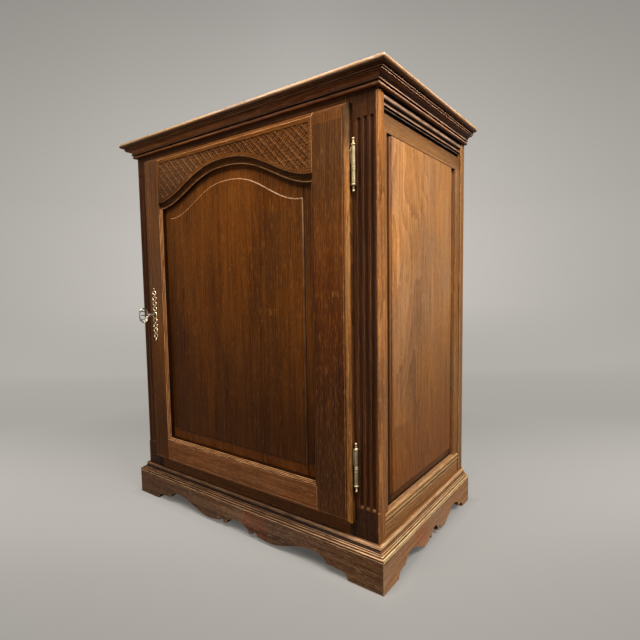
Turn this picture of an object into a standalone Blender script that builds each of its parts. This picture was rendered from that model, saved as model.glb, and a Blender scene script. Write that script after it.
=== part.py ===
# Oak side cabinet: one door with an arched raised panel, fluted posts, moulded cornice, scalloped plinth.
# Metres, +Z up. Pieces are laid out with the faces of the front posts at y = 0. A root empty then puts
# the origin on the floor under the middle of the whole cabinet, its key included.

from math import acos, cos, pi, sin

import bmesh
import bpy
from mathutils import Matrix, Vector

# Body
CABINET_HEIGHT = 1.000
BODY_WIDTH = 0.770
BODY_DEPTH = 0.466
GAP = 0.0003  # clearance between pieces that meet

# Top board and cornice
TOP_THICKNESS = 0.012
TOP_OVERHANG = 0.0335
NOSING_RADIUS = 0.0055
CORNICE_HEIGHT = 0.027
CORNICE_OVERHANG = 0.0245
CORNICE_BEAD = 0.005
CORNICE_BEAD_OUT = 0.0055
CORNICE_STEP = 0.0035
CORNICE_FILLET = 0.003
CORNICE_FILLET_HEIGHT = 0.006

# Plinth
PLINTH_OVERHANG = 0.0196
APRON_HEIGHT = 0.0657
PLINTH_MOULDING_HEIGHT = 0.0228
PLINTH_NOSE = 0.0026
PLINTH_FILLET = 0.0018
PLINTH_COVE_DEPTH = 0.0045
PLINTH_COVE_HEIGHT = 0.010
PLINTH_ROUND = 0.006
APRON_CENTRE = 0.029  # heights of the scallops above the floor
APRON_CUSP = 0.010
APRON_NOTCH = 0.019
APRON_PENDANT = 0.0065
APRON_ARCH = 0.0335
APRON_SHELF = 0.0155
FRONT_FOOT = 0.083
FRONT_SCALLOPS = (0.040, 0.049, 0.067, 0.105)  # from the middle: centre arch, cusp, notch, pendant
FRONT_ARCH = (0.094, 0.054, 0.020)  # from the foot: top of the arch, its end, the shelf's end
SIDE_FOOT = 0.045
SIDE_SCALLOPS = (0.018, 0.024, 0.034, 0.051)
SIDE_ARCH = (0.063, 0.033, 0.018)

# Posts
POST_WIDTH = 0.068
POST_THICKNESS = 0.025
REAR_POST_WIDTH = 0.040
REAR_POST_THICKNESS = 0.024
FLUTE_COUNT = 3
FLUTE_PITCH = 0.014
FLUTE_EDGE = 0.012  # outermost flute's middle from the post's outer edge
FLUTE_WIDTH = 0.010
FLUTE_DEPTH = 0.0035
FLUTE_BOTTOM = 0.150  # above the floor
FLUTE_TOP_STOP = 0.073  # below the underside of the top board
CORNER_FLUTE_RADIUS = 0.0035

# Front and back rails, bottom board and back
RAIL_FOOT = 0.060
BOTTOM_RAIL_HEIGHT = 0.071
TOP_RAIL_HEIGHT = 0.057
BOTTOM_BOARD_THICKNESS = 0.018
BACK_PANEL_THICKNESS = 0.010

# Sides
SIDE_RECESS = 0.004
SIDE_FRAME_THICKNESS = 0.020
SIDE_LIP = 0.012
SIDE_TONGUE = 0.008
SIDE_STILE_WIDTH = 0.0215
SIDE_STILE_ROUND = 0.005
SIDE_TOP_RAIL = 0.071
SIDE_BOTTOM_RAIL = 0.077
FRIEZE_DROP = 0.004
FRIEZE_BEAD = 0.012
FRIEZE_BEAD_OUT = 0.0035
FRIEZE_QUIRK = 0.004
FRIEZE_BAND = 0.008
FRIEZE_FILLET = 0.0015
FRIEZE_HOLLOW = 0.0065
FRIEZE_SMALL_BEAD = 0.006
SIDE_BEAD = 0.009
SIDE_BEAD_OUT = 0.0045
SIDE_BEAD_SETBACK = 0.002
SIDE_BEVEL = 0.025
SIDE_FIELD_RISE = 0.009
FIELD_STEP = 0.0015  # small raised edge round a field

# Shelves
SHELF_LEVELS = ("lower", "upper")
SHELF_THICKNESS = 0.018
SHELF_SETBACK = 0.020
CLEAT_HEIGHT = 0.022
CLEAT_WIDTH = 0.018

# Door
DOOR_GAP = 0.0008
DOOR_THICKNESS = 0.020
DOOR_OVERLAP = 0.013
DOOR_OVERLAP_ENDS = 0.012
DOOR_EDGE_ROUND = 0.010
DOOR_EDGE_STEP = 0.0025
LOCK_STILE_WIDTH = 0.0655
HINGE_STILE_WIDTH = 0.0815
DOOR_TOP_RAIL = 0.120
DOOR_BOTTOM_RAIL = 0.061
ARCH_RISE = 0.072
ARCH_SHOULDER = 0.004  # flat run at each end of the arch
ARCH_FULLNESS = 1.2  # above 1 the arch is broader than a plain wave
REED_COUNT = 3
REED_WIDTH = 0.0024
REED_DROP = 0.0025
MOULDING_FILLET = 0.0018
MOULDING_WALL = 0.009
ARCH_COVE = 0.0130  # hollow moulding under the arch
ARCH_COVE_DEPTH = 0.009
ARCH_BEAD = 0.003
DOOR_BEVEL = 0.026
FIELD_SHOULDER = 0.008
FIELD_ARCH_RISE = 0.0685
DOOR_FIELD_RISE = 0.0046

# Hinges
HINGE_OFFSET = 0.006  # axis beyond the door's edge
HINGE_PROUD = 0.0058  # axis in front of the posts
HINGE_INSET = 0.116  # middle of a hinge from the door's end
KNUCKLE_RADIUS = 0.00425
DOOR_KNUCKLE = 0.034
FRAME_KNUCKLE = 0.026
SLEEVE_LENGTH = 0.012
SLEEVE_RADIUS = 0.0046
PIN_RADIUS = 0.002
PIN_CLEARANCE = 0.00008
PIN_ENGAGEMENT = 0.022
FINIAL_RING_RADIUS = 0.0054
FINIAL_RING = 0.0036
FINIAL_NECK_RADIUS = 0.0022
FINIAL_NECK = 0.0063
FINIAL_BALL_RADIUS = 0.0033
LEAF_THICKNESS = 0.002
LEAF_MARGIN = 0.002
FRAME_LEAF_DEPTH = 0.018
DOOR_LEAF_DEPTH = 0.022

# Lock, key and escutcheon
KEY_HEIGHT = 0.526
LOCK_CLEARANCE = 0.001
LOCK_WIDTH = 0.060
LOCK_BELOW_KEY = 0.030
LOCK_ABOVE_KEY = 0.034
LOCK_DEPTH = 0.014
LOCK_WALL = 0.002
BOLT_TRAVEL = 0.010
BOLT_RISE = 0.008  # bolt's lower edge above the key's axis
BOLT_HEIGHT = 0.014
BOLT_THICKNESS = 0.006
BOLT_LENGTH = 0.046
BOLT_SETBACK = 0.0035
NOTCH_CLEARANCE = 0.0012
MORTISE_CLEARANCE = 0.0006
STRIKE_THICKNESS = 0.0012
STRIKE_MARGIN = 0.008
KEY_REACH = 0.050  # bow's tip in front of the door
KEY_SHANK_RADIUS = 0.003
KEY_BIT_REACH = 0.011
KEY_BIT_WIDTH = 0.0052
KEY_BIT_THICKNESS = 0.0026
KEY_TIP = 0.002
KEY_COLLAR_RADIUS = 0.0045
KEY_COLLAR = 0.003
KEYHOLE_CLEARANCE = 0.0003
BOW_HEIGHT = 0.042
BOW_LENGTH = 0.032
BOW_THICKNESS = 0.004
BOW_RIM = 0.005
ESCUTCHEON_LENGTH = 0.148
ESCUTCHEON_WIDTH = 0.026
ESCUTCHEON_THICKNESS = 0.0016

# Facets
ARC_STEPS = 5
ARCH_STEPS = 36
TURNED_STEPS = 20
ROUND_SIDES = 24

# Places worked out from the sizes
half_width = BODY_WIDTH / 2
carcass_top = CABINET_HEIGHT - TOP_THICKNESS - GAP
cornice_bottom = carcass_top - CORNICE_HEIGHT
opening_half = half_width - POST_WIDTH
opening_bottom = RAIL_FOOT + BOTTOM_RAIL_HEIGHT
opening_top = carcass_top - TOP_RAIL_HEIGHT
rear_face = BODY_DEPTH - REAR_POST_THICKNESS
inside_front = POST_THICKNESS + GAP
inside_back = rear_face - GAP

side_face = half_width - SIDE_RECESS
side_inner = side_face - SIDE_FRAME_THICKNESS
side_rebate = side_face - SIDE_LIP
side_low = RAIL_FOOT + SIDE_BOTTOM_RAIL
side_high = carcass_top - SIDE_TOP_RAIL

door_half = opening_half + DOOR_OVERLAP
door_low = opening_bottom - DOOR_OVERLAP_ENDS
door_high = opening_top + DOOR_OVERLAP_ENDS
door_back = -DOOR_GAP
door_face = door_back - DOOR_THICKNESS
frame_middle = (LOCK_STILE_WIDTH - HINGE_STILE_WIDTH) / 2
frame_half = door_half - (LOCK_STILE_WIDTH + HINGE_STILE_WIDTH) / 2
arch_base = door_high - DOOR_TOP_RAIL
frame_low = door_low + DOOR_BOTTOM_RAIL
moulding_width = REED_COUNT * REED_WIDTH + MOULDING_FILLET
moulding_back = door_face + REED_COUNT * REED_DROP + MOULDING_WALL

hinge_x = door_half + HINGE_OFFSET
hinge_y = -HINGE_PROUD
hinge_heights = {"upper": door_high - HINGE_INSET, "lower": door_low + HINGE_INSET}

key_x = -(door_half - LOCK_STILE_WIDTH / 2)
escutcheon_face = door_face - GAP - ESCUTCHEON_THICKNESS
key_front = door_face - KEY_REACH
lock_edge = -(opening_half - GAP - STRIKE_THICKNESS - LOCK_CLEARANCE)
lock_front = door_back + GAP
bolt_front = lock_front + BOLT_SETBACK
bolt_back = bolt_front + BOLT_THICKNESS
bolt_low = KEY_HEIGHT + BOLT_RISE
bolt_high = bolt_low + BOLT_HEIGHT

SIDES = {"left": -1, "right": 1}

# How an outline lies: across the front (X and Z), along a side (Y and Z) or flat (X and Y)
FRONT = Matrix(((1, 0, 0), (0, 0, -1), (0, 1, 0))).to_4x4()
SIDE = Matrix(((0, 0, 1), (1, 0, 0), (0, 1, 0))).to_4x4()
FLAT = Matrix.Identity(4)

for old in list(bpy.data.objects):
    bpy.data.objects.remove(old)

parts = bpy.data.collections.new("side_cabinet")
cutters = bpy.data.collections.new("cutters")
bpy.context.scene.collection.children.link(parts)
bpy.context.scene.collection.children.link(cutters)


def axis_empty(name, place, parent=None):
    empty = bpy.data.objects.new(name, None)
    parts.objects.link(empty)
    empty.parent = parent
    empty.location = place
    return empty


root = axis_empty("cabinet_root", (0, -(key_front + BODY_DEPTH) / 2, 0))
door_axis = axis_empty("door_axis", (hinge_x, hinge_y, 0), root)
key_axis = axis_empty("key_axis", (key_x - hinge_x, -hinge_y, KEY_HEIGHT), door_axis)
bolt_axis = axis_empty("bolt_axis", (lock_edge - hinge_x, bolt_front - hinge_y, bolt_low), door_axis)
AXIS_PLACES = {
    root: Vector(),
    door_axis: Vector((hinge_x, hinge_y, 0)),
    key_axis: Vector((key_x, 0, KEY_HEIGHT)),
    bolt_axis: Vector((lock_edge, bolt_front, bolt_low)),
}


def material(name, colour, roughness, metallic=0.0):
    made = bpy.data.materials.new(name)
    made.use_nodes = True
    shader = made.node_tree.nodes["Principled BSDF"]
    shader.inputs["Base Color"].default_value = (*colour, 1.0)
    shader.inputs["Roughness"].default_value = roughness
    shader.inputs["Metallic"].default_value = metallic
    return made


DARK_OAK = material("dark_oak", (0.075, 0.032, 0.014), 0.42)
GOLDEN_OAK = material("golden_oak", (0.25, 0.115, 0.042), 0.45)
WORN_OAK = material("worn_oak", (0.30, 0.15, 0.065), 0.45)
INNER_OAK = material("inner_oak", (0.34, 0.21, 0.11), 0.60)
BRASS = material("aged_brass", (0.48, 0.36, 0.17), 0.32, 1.0)
STEEL = material("lock_steel", (0.30, 0.29, 0.27), 0.40, 1.0)


# Shapes

def arc(centre, radii, start, end, steps=ARC_STEPS):
    # Points along part of an ellipse, with angles in radians.
    points = []
    for step in range(steps + 1):
        angle = start + (end - start) * step / steps
        points.append((centre[0] + radii[0] * cos(angle), centre[1] + radii[1] * sin(angle)))
    return points


def block(x, y, z):
    # A box between the low and high places given for each axis.
    shape = bmesh.new()
    centre = Vector((sum(x), sum(y), sum(z))) / 2
    size = (abs(x[1] - x[0]), abs(y[1] - y[0]), abs(z[1] - z[0]), 1)
    bmesh.ops.create_cube(shape, size=1, matrix=Matrix.Translation(centre) @ Matrix.Diagonal(size))
    return shape


def weld(shape):
    bmesh.ops.remove_doubles(shape, verts=shape.verts, dist=0.000005)
    bmesh.ops.recalc_face_normals(shape, faces=shape.faces)
    return shape


def plate(loops, lie, low, high):
    # A flat outline, and any holes after it, as a closed plate between two places.
    curve = bpy.data.curves.new("outline", "CURVE")
    curve.dimensions = "2D"
    curve.fill_mode = "BOTH"
    curve.extrude = (high - low) / 2
    for loop in loops:
        spline = curve.splines.new("POLY")
        spline.points.add(len(loop) - 1)
        for point, (across, up) in zip(spline.points, loop):
            point.co = (across, up, 0, 1)
        spline.use_cyclic_u = True
    holder = bpy.data.objects.new("outline", curve)
    bpy.context.scene.collection.objects.link(holder)
    depsgraph = bpy.context.evaluated_depsgraph_get()
    mesh = bpy.data.meshes.new_from_object(holder.evaluated_get(depsgraph))
    bpy.data.objects.remove(holder)
    bpy.data.curves.remove(curve)
    shape = bmesh.new()
    shape.from_mesh(mesh)
    bpy.data.meshes.remove(mesh)
    weld(shape)
    through = lie @ Vector((0, 0, 1))
    middle = Vector([abs(part) for part in through]) * (low + high) / 2
    bmesh.ops.transform(shape, matrix=Matrix.Translation(middle) @ lie, verts=shape.verts)
    return shape


def one_face(shape, direction):
    # Merges the faces that look one way into a single face and returns it.
    def looks(face):
        return face.normal.dot(direction) > 0.999

    inner = [edge for edge in shape.edges if all(looks(face) for face in edge.link_faces)]
    bmesh.ops.dissolve_edges(shape, edges=inner, use_verts=False)
    return max((face for face in shape.faces if looks(face)), key=lambda face: face.calc_area())


def raise_field(shape, direction, steps):
    # Works a panel's face inwards from its edge, by a width and a rise at each step.
    face = one_face(shape, direction)
    for width, rise in steps:
        bmesh.ops.inset_region(shape, faces=[face], thickness=width, depth=rise, use_even_offset=True)
    return face


def trim(shape, place, away):
    # Cuts off what lies on the far side of a plane and closes the cut.
    geometry = shape.verts[:] + shape.edges[:] + shape.faces[:]
    bmesh.ops.bisect_plane(
        shape, geom=geometry, dist=0.0000001, plane_co=place, plane_no=away, clear_outer=True
    )
    rim = [edge for edge in shape.edges if edge.is_boundary]
    bmesh.ops.holes_fill(shape, edges=rim)
    return weld(shape)


def edges_at(shape, **planes):
    # The edges that lie on all the planes given, such as y=0.1 and z=0.2.
    found = []
    for edge in shape.edges:
        ends = [vert.co for vert in edge.verts]
        if all(abs(getattr(end, axis) - place) < 0.00001 for end in ends for axis, place in planes.items()):
            found.append(edge)
    return found


def round_edges(shape, edges, radius, segments=4):
    bmesh.ops.bevel(
        shape, geom=edges, offset=radius, offset_type="OFFSET", segments=segments, profile=0.5,
        affect="EDGES", clamp_overlap=True
    )
    return weld(shape)


def capsules(places, radius):
    # Long round-ended bars, each along Z from its low to its high end.
    shape = bmesh.new()
    for x, y, low, high in places:
        made = bmesh.ops.create_uvsphere(shape, u_segments=16, v_segments=7, radius=radius)
        reach = (high - low) / 2 - radius
        for vert in made["verts"]:
            vert.co += Vector((x, y, (low + high) / 2 + (reach if vert.co.z > 0 else -reach)))
    return shape


def rod(start, end, radius):
    # A round bar along Y or Z between two places.
    shape = bmesh.new()
    run = Vector(end) - Vector(start)
    turn = run.to_track_quat("Z", "Y").to_matrix().to_4x4()
    middle = Matrix.Translation((Vector(start) + Vector(end)) / 2)
    bmesh.ops.create_cone(
        shape, cap_ends=True, segments=ROUND_SIDES, radius1=radius, radius2=radius, depth=run.length,
        matrix=middle @ turn
    )
    return shape


# Objects

def place(name, shape, parent, collection):
    # The mesh keeps cabinet coordinates; the object's location undoes its parent's place.
    mesh = bpy.data.meshes.new(name)
    shape.to_mesh(mesh)
    shape.free()
    made = bpy.data.objects.new(name, mesh)
    collection.objects.link(made)
    made.parent = parent
    made.location = -AXIS_PLACES[parent]
    return made


def piece(name, shape, finish, parent=root, smooth=False):
    made = place(name, shape, parent, parts)
    made.data.materials.append(finish)
    if smooth:
        made.data.shade_smooth()
        made.data.set_sharp_from_angle(angle=0.6)
    return made


def combine(made, shape, operation="DIFFERENCE"):
    # Cuts a shape out of a piece, or joins it on.
    tool = place(made.name + "_" + operation.lower(), shape, made.parent, cutters)
    tool.hide_render = True
    tool.display_type = "WIRE"
    boolean = made.modifiers.new(tool.name, "BOOLEAN")
    boolean.operation = operation
    boolean.object = tool
    return made


def turned(name, profile, x, y, finish, parent, closed=False):
    # A turned piece about a vertical axis, from a profile that runs down its outer side.
    shape = bmesh.new()
    verts = [shape.verts.new((radius, 0, height)) for radius, height in profile]
    for first, second in zip(verts, verts[1:]):
        shape.edges.new((first, second))
    if closed:
        shape.edges.new((verts[-1], verts[0]))
    made = place(name, shape, parent, parts)
    made.data.materials.append(finish)
    made.location += Vector((x, y, 0))
    screw = made.modifiers.new("turn", "SCREW")
    screw.axis = "Z"
    screw.angle = 2 * pi
    screw.steps = TURNED_STEPS
    screw.render_steps = TURNED_STEPS
    screw.use_merge_vertices = True
    screw.merge_threshold = 0.00001
    return made


# Plinth

def swing(start, end):
    # A smooth double curve between two places.
    points = []
    for step in range(2 * ARC_STEPS + 1):
        share = step / (2 * ARC_STEPS)
        rise = (1 - cos(pi * share)) / 2
        points.append((start[0] + (end[0] - start[0]) * share, start[1] + (end[1] - start[1]) * rise))
    return points


def scallops(span, from_middle, from_foot):
    # The underside between two feet, from left to right and symmetric about its middle.
    centre, cusp, notch, pendant = from_middle
    top, fall, shelf = [span - length for length in from_foot]
    right = arc((0, APRON_CUSP), (centre, APRON_CENTRE - APRON_CUSP), pi / 2, 0)
    right += arc(((cusp + notch) / 2, APRON_CUSP), ((notch - cusp) / 2, APRON_NOTCH - APRON_CUSP), pi, 0)
    right += swing((notch, APRON_CUSP), (pendant, APRON_PENDANT))[1:]
    right += swing((pendant, APRON_PENDANT), (top, APRON_ARCH))[1:]
    right += arc((top, APRON_SHELF), (fall - top, APRON_ARCH - APRON_SHELF), pi / 2, 0)[1:]
    right += arc((shelf, 0), (span - shelf, APRON_SHELF), pi / 2, 0)
    left = [(-along, up) for along, up in reversed(right[1:])]
    return left + right


def plinth_profile():
    # Outwards and up from the foot of the strip: rounded nose, two fillets, cove, quarter round.
    high = PLINTH_MOULDING_HEIGHT
    first = PLINTH_OVERHANG - PLINTH_NOSE
    second = first - PLINTH_FILLET
    cove_out = second - PLINTH_FILLET
    cove_in = cove_out - PLINTH_COVE_DEPTH
    cove_low = PLINTH_NOSE + PLINTH_FILLET
    cove_high = cove_low + PLINTH_COVE_HEIGHT
    points = [(GAP, 0)]
    points += arc((first, 0), (PLINTH_NOSE, PLINTH_NOSE), 0, pi / 2)
    points += [(second, PLINTH_NOSE), (second, cove_low)]
    points += arc((cove_out, cove_high), (PLINTH_COVE_DEPTH, PLINTH_COVE_HEIGHT), -pi / 2, -pi)
    points.append((cove_in - PLINTH_FILLET / 2, cove_high))
    round_out = cove_in - PLINTH_FILLET / 2 - PLINTH_ROUND
    points += arc((round_out, high - PLINTH_ROUND), (PLINTH_ROUND, PLINTH_ROUND), 0, pi / 2)
    points.append((GAP, high))
    return points


def corner(side, keep_front):
    # The mitre plane at a front corner of the body, and the side of it to cut away.
    away = Vector((SIDES[side], 1, 0)).normalized() * (1 if keep_front else -1)
    return Vector((SIDES[side] * half_width, 0, 0)) - away * GAP / 2, away


def front_strip(profile, base, end):
    # A moulding along the front, mitred at both ends.
    outline = [(-out, base + up) for out, up in profile]
    shape = plate([outline], SIDE, -end, end)
    for side in SIDES:
        trim(shape, *corner(side, True))
    return shape


def side_strip(profile, base, end, side):
    # The same moulding along a side, mitred at the front and flush with the back.
    outline = [(SIDES[side] * (half_width + out), base + up) for out, up in profile]
    return trim(plate([outline], FRONT, -end, BODY_DEPTH), *corner(side, False))


apron_end = half_width + PLINTH_OVERHANG
underside = scallops(apron_end - FRONT_FOOT, FRONT_SCALLOPS, FRONT_ARCH)
front_outline = [(-apron_end, APRON_HEIGHT), (-apron_end, 0)] + underside
front_outline += [(apron_end, 0), (apron_end, APRON_HEIGHT)]
front_apron = plate([front_outline], FRONT, -PLINTH_OVERHANG, -GAP)
for side in SIDES:
    trim(front_apron, *corner(side, True))
piece("plinth_front", front_apron, DARK_OAK)
moulding_base = APRON_HEIGHT + GAP
piece("plinth_moulding_front", front_strip(plinth_profile(), moulding_base, apron_end), DARK_OAK)
underside = scallops(BODY_DEPTH / 2 - SIDE_FOOT, SIDE_SCALLOPS, SIDE_ARCH)
side_outline = [(-PLINTH_OVERHANG, APRON_HEIGHT), (-PLINTH_OVERHANG, 0)]
side_outline += [(BODY_DEPTH / 2 + along, up) for along, up in underside]
side_outline += [(BODY_DEPTH, 0), (BODY_DEPTH, APRON_HEIGHT)]
for side, sign in SIDES.items():
    reach = sorted((sign * (half_width + GAP), sign * (half_width + PLINTH_OVERHANG)))
    piece("plinth_" + side, trim(plate([side_outline], SIDE, *reach), *corner(side, False)), GOLDEN_OAK)
    strip = side_strip(plinth_profile(), moulding_base, PLINTH_OVERHANG, side)
    piece("plinth_moulding_" + side, strip, WORN_OAK)


# Posts

flute_radius = (FLUTE_WIDTH ** 2 / 4 + FLUTE_DEPTH ** 2) / (2 * FLUTE_DEPTH)
flute_high = carcass_top - FLUTE_TOP_STOP
leaf_half = LEAF_THICKNESS / 2 + GAP
barrel = DOOR_KNUCKLE + SLEEVE_LENGTH + FRAME_KNUCKLE

for side, sign in SIDES.items():
    x = sorted((sign * opening_half, sign * half_width))
    post = piece("front_post_" + side, block(x, (0, POST_THICKNESS), (0, carcass_top)), DARK_OAK)
    flutes = []
    for index in range(FLUTE_COUNT):
        across = half_width - FLUTE_EDGE - index * FLUTE_PITCH
        flutes.append((sign * across, FLUTE_DEPTH - flute_radius, FLUTE_BOTTOM, flute_high))
    combine(post, capsules(flutes, flute_radius))
    corner_flute = (sign * half_width, 0, FLUTE_BOTTOM, CABINET_HEIGHT)
    combine(post, capsules([corner_flute], CORNER_FLUTE_RADIUS))
    x = sorted((sign * (half_width - REAR_POST_WIDTH), sign * half_width))
    piece("rear_post_" + side, block(x, (rear_face, BODY_DEPTH), (0, carcass_top)), GOLDEN_OAK)

# Rails, bottom board, back and top

front_x = (-(opening_half - GAP), opening_half - GAP)
back_x = (-(half_width - REAR_POST_WIDTH - GAP), half_width - REAR_POST_WIDTH - GAP)
board_x = (-(side_inner - GAP), side_inner - GAP)
front_y = (0, POST_THICKNESS)
back_y = (rear_face, BODY_DEPTH)
low_z = (RAIL_FOOT, opening_bottom)
high_z = (opening_top, carcass_top)
piece("front_bottom_rail", block(front_x, front_y, low_z), DARK_OAK)
piece("front_top_rail", block(front_x, front_y, high_z), DARK_OAK)
piece("back_bottom_rail", block(back_x, back_y, low_z), INNER_OAK)
piece("back_top_rail", block(back_x, back_y, high_z), INNER_OAK)
back_middle = (rear_face + BODY_DEPTH) / 2
panel_y = (back_middle - BACK_PANEL_THICKNESS / 2, back_middle + BACK_PANEL_THICKNESS / 2)
piece("back_panel", block(back_x, panel_y, (opening_bottom + GAP, opening_top - GAP)), INNER_OAK)
floor_z = (opening_bottom - BOTTOM_BOARD_THICKNESS, opening_bottom)
piece("bottom_board", block(board_x, (inside_front, inside_back), floor_z), INNER_OAK)

top_half = half_width + TOP_OVERHANG
top_low = CABINET_HEIGHT - TOP_THICKNESS
top_board = block((-top_half, top_half), (-TOP_OVERHANG, BODY_DEPTH), (top_low, CABINET_HEIGHT))
nosing = []
for height in (top_low, CABINET_HEIGHT):
    nosing += edges_at(top_board, y=-TOP_OVERHANG, z=height)
    nosing += edges_at(top_board, x=-top_half, z=height) + edges_at(top_board, x=top_half, z=height)
piece("top_board", round_edges(top_board, nosing, min(NOSING_RADIUS, 0.45 * TOP_THICKNESS)), WORN_OAK)


# Cornice

def cornice_profile():
    # Outwards and up from the foot of the strip: bead, step, cove, fillet.
    step_out = CORNICE_BEAD_OUT + CORNICE_STEP
    cove_low = CORNICE_BEAD + CORNICE_STEP / 2
    cove_high = CORNICE_HEIGHT - CORNICE_FILLET_HEIGHT
    cove_out = CORNICE_OVERHANG - CORNICE_FILLET
    points = [(GAP, 0)]
    points += arc((CORNICE_BEAD_OUT, CORNICE_BEAD / 2), (CORNICE_BEAD / 2, CORNICE_BEAD / 2), -pi / 2, pi / 2)
    points.append((step_out, CORNICE_BEAD))
    points += arc((cove_out, cove_low), (cove_out - step_out, cove_high - cove_low), pi, pi / 2)
    points += [(CORNICE_OVERHANG, cove_high), (CORNICE_OVERHANG, CORNICE_HEIGHT), (GAP, CORNICE_HEIGHT)]
    return points


cornice_end = half_width + CORNICE_OVERHANG
piece("cornice_front", front_strip(cornice_profile(), cornice_bottom, cornice_end), DARK_OAK)
for side in SIDES:
    piece("cornice_" + side, side_strip(cornice_profile(), cornice_bottom, CORNICE_OVERHANG, side), DARK_OAK)


# Sides: frieze rail, beaded bottom rail, two stiles and a raised panel each

def frieze_outline():
    # Across and up: large bead, quirk, hollow band, quirk, small bead, then the lip over the panel.
    bead_top = cornice_bottom - FRIEZE_DROP
    bead_low = bead_top - FRIEZE_BEAD
    band_low = bead_low - FRIEZE_BAND
    small_top = band_low - FRIEZE_HOLLOW
    deep = side_face - FRIEZE_QUIRK
    lip = (deep + side_rebate) / 2
    points = [(side_inner, carcass_top), (side_face, carcass_top)]
    bead = (FRIEZE_BEAD_OUT, FRIEZE_BEAD / 2)
    points += arc((side_face, bead_top - FRIEZE_BEAD / 2), bead, pi / 2, -pi / 2)
    points += [(deep, bead_low), (deep, bead_low - FRIEZE_QUIRK / 3)]
    points += arc((side_face, band_low), (FRIEZE_QUIRK / 2, FRIEZE_BAND / 2), pi / 2, pi, 3)
    fillet = side_face + FRIEZE_BEAD_OUT / 2
    points += [(fillet, band_low), (fillet, band_low - FRIEZE_FILLET), (deep, band_low - FRIEZE_FILLET)]
    points += arc((deep, small_top - FRIEZE_SMALL_BEAD / 2), (FRIEZE_SMALL_BEAD / 2,) * 2, pi / 2, -pi / 2)
    points += [(lip, small_top - FRIEZE_SMALL_BEAD), (lip, side_high), (side_rebate, side_high)]
    points += [(side_rebate, side_high + SIDE_TONGUE), (side_inner, side_high + SIDE_TONGUE)]
    return points


def bead_rail_outline():
    # Across and up: plain face, then two beads under the panel.
    bead_face = side_face - SIDE_BEAD_SETBACK
    bead_low = side_low - 2 * SIDE_BEAD
    points = [(side_inner, RAIL_FOOT), (side_face, RAIL_FOOT), (side_face, bead_low - SIDE_BEAD / 2)]
    points.append((bead_face, bead_low - SIDE_BEAD / 4))
    for index in range(2):
        middle = bead_low + (index + 0.5) * SIDE_BEAD
        points += arc((bead_face, middle), (SIDE_BEAD_OUT, SIDE_BEAD / 2), -pi / 2, pi / 2)[index:]
    tongue = side_low - SIDE_TONGUE
    points += [(side_rebate, side_low), (side_rebate, tongue), (side_inner, tongue)]
    return points


def stile_outline():
    # Across and back: a stile against the front post, with a rounded edge and a rebate for the panel.
    end = inside_front + SIDE_STILE_WIDTH
    points = [(side_inner, inside_front), (side_face, inside_front)]
    centre = (side_face - SIDE_STILE_ROUND, end - SIDE_STILE_ROUND)
    points += arc(centre, (SIDE_STILE_ROUND, SIDE_STILE_ROUND), 0, pi / 2)
    points += [(side_rebate, end), (side_rebate, end - SIDE_TONGUE), (side_inner, end - SIDE_TONGUE)]
    return points


tongue_front = inside_front + SIDE_STILE_WIDTH - SIDE_TONGUE + GAP
tongue_back = inside_front + inside_back - tongue_front
tongue_low = side_low - SIDE_TONGUE + GAP
tongue_high = side_high + SIDE_TONGUE - GAP
for side, sign in SIDES.items():
    frieze = [(sign * across, up) for across, up in frieze_outline()]
    piece("side_top_rail_" + side, plate([frieze], FRONT, inside_front, inside_back), GOLDEN_OAK)
    beads = [(sign * across, up) for across, up in bead_rail_outline()]
    piece("side_bottom_rail_" + side, plate([beads], FRONT, inside_front, inside_back), GOLDEN_OAK)
    stile = [(sign * across, back) for across, back in stile_outline()]
    stile_z = (side_low + GAP, side_high - GAP)
    piece("side_front_stile_" + side, plate([stile], FLAT, *stile_z), GOLDEN_OAK)
    mirrored = [(across, inside_front + inside_back - back) for across, back in stile]
    piece("side_rear_stile_" + side, plate([mirrored], FLAT, *stile_z), GOLDEN_OAK)
    panel_x = sorted((sign * side_inner, sign * (side_rebate - GAP)))
    panel = block(panel_x, (tongue_front, tongue_back), (tongue_low, tongue_high))
    steps = (
        (SIDE_TONGUE + GAP, 0),
        (SIDE_BEVEL, SIDE_FIELD_RISE - FIELD_STEP),
        (FIELD_STEP / 2, FIELD_STEP),
    )
    raise_field(panel, Vector((sign, 0, 0)), steps)
    piece("side_panel_" + side, panel, GOLDEN_OAK)

# Shelves on cleats, evenly spaced inside

shelf_front = POST_THICKNESS + SHELF_SETBACK
shelf_space = (carcass_top - opening_bottom) / (len(SHELF_LEVELS) + 1)
for index, level in enumerate(SHELF_LEVELS):
    base = opening_bottom + (index + 1) * shelf_space
    shelf_y = (shelf_front, inside_back)
    piece("shelf_" + level, block(board_x, shelf_y, (base, base + SHELF_THICKNESS)), INNER_OAK)
    for side, sign in SIDES.items():
        cleat_x = sorted((sign * (side_inner - GAP), sign * (side_inner - GAP - CLEAT_WIDTH)))
        cleat_z = (base - GAP - CLEAT_HEIGHT, base - GAP)
        piece("shelf_cleat_" + level + "_" + side, block(cleat_x, shelf_y, cleat_z), INNER_OAK)

# Door frame

FORWARD = Vector((0, -1, 0))
edge_face = door_face + DOOR_EDGE_STEP


def moulded_edge(shape, edges):
    # Rounds the door's outer edges, then brings the face forward so that a small step is left.
    round_edges(shape, edges, DOOR_EDGE_ROUND)
    raise_field(shape, FORWARD, ((0, DOOR_EDGE_STEP),))
    return weld(shape)


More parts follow.
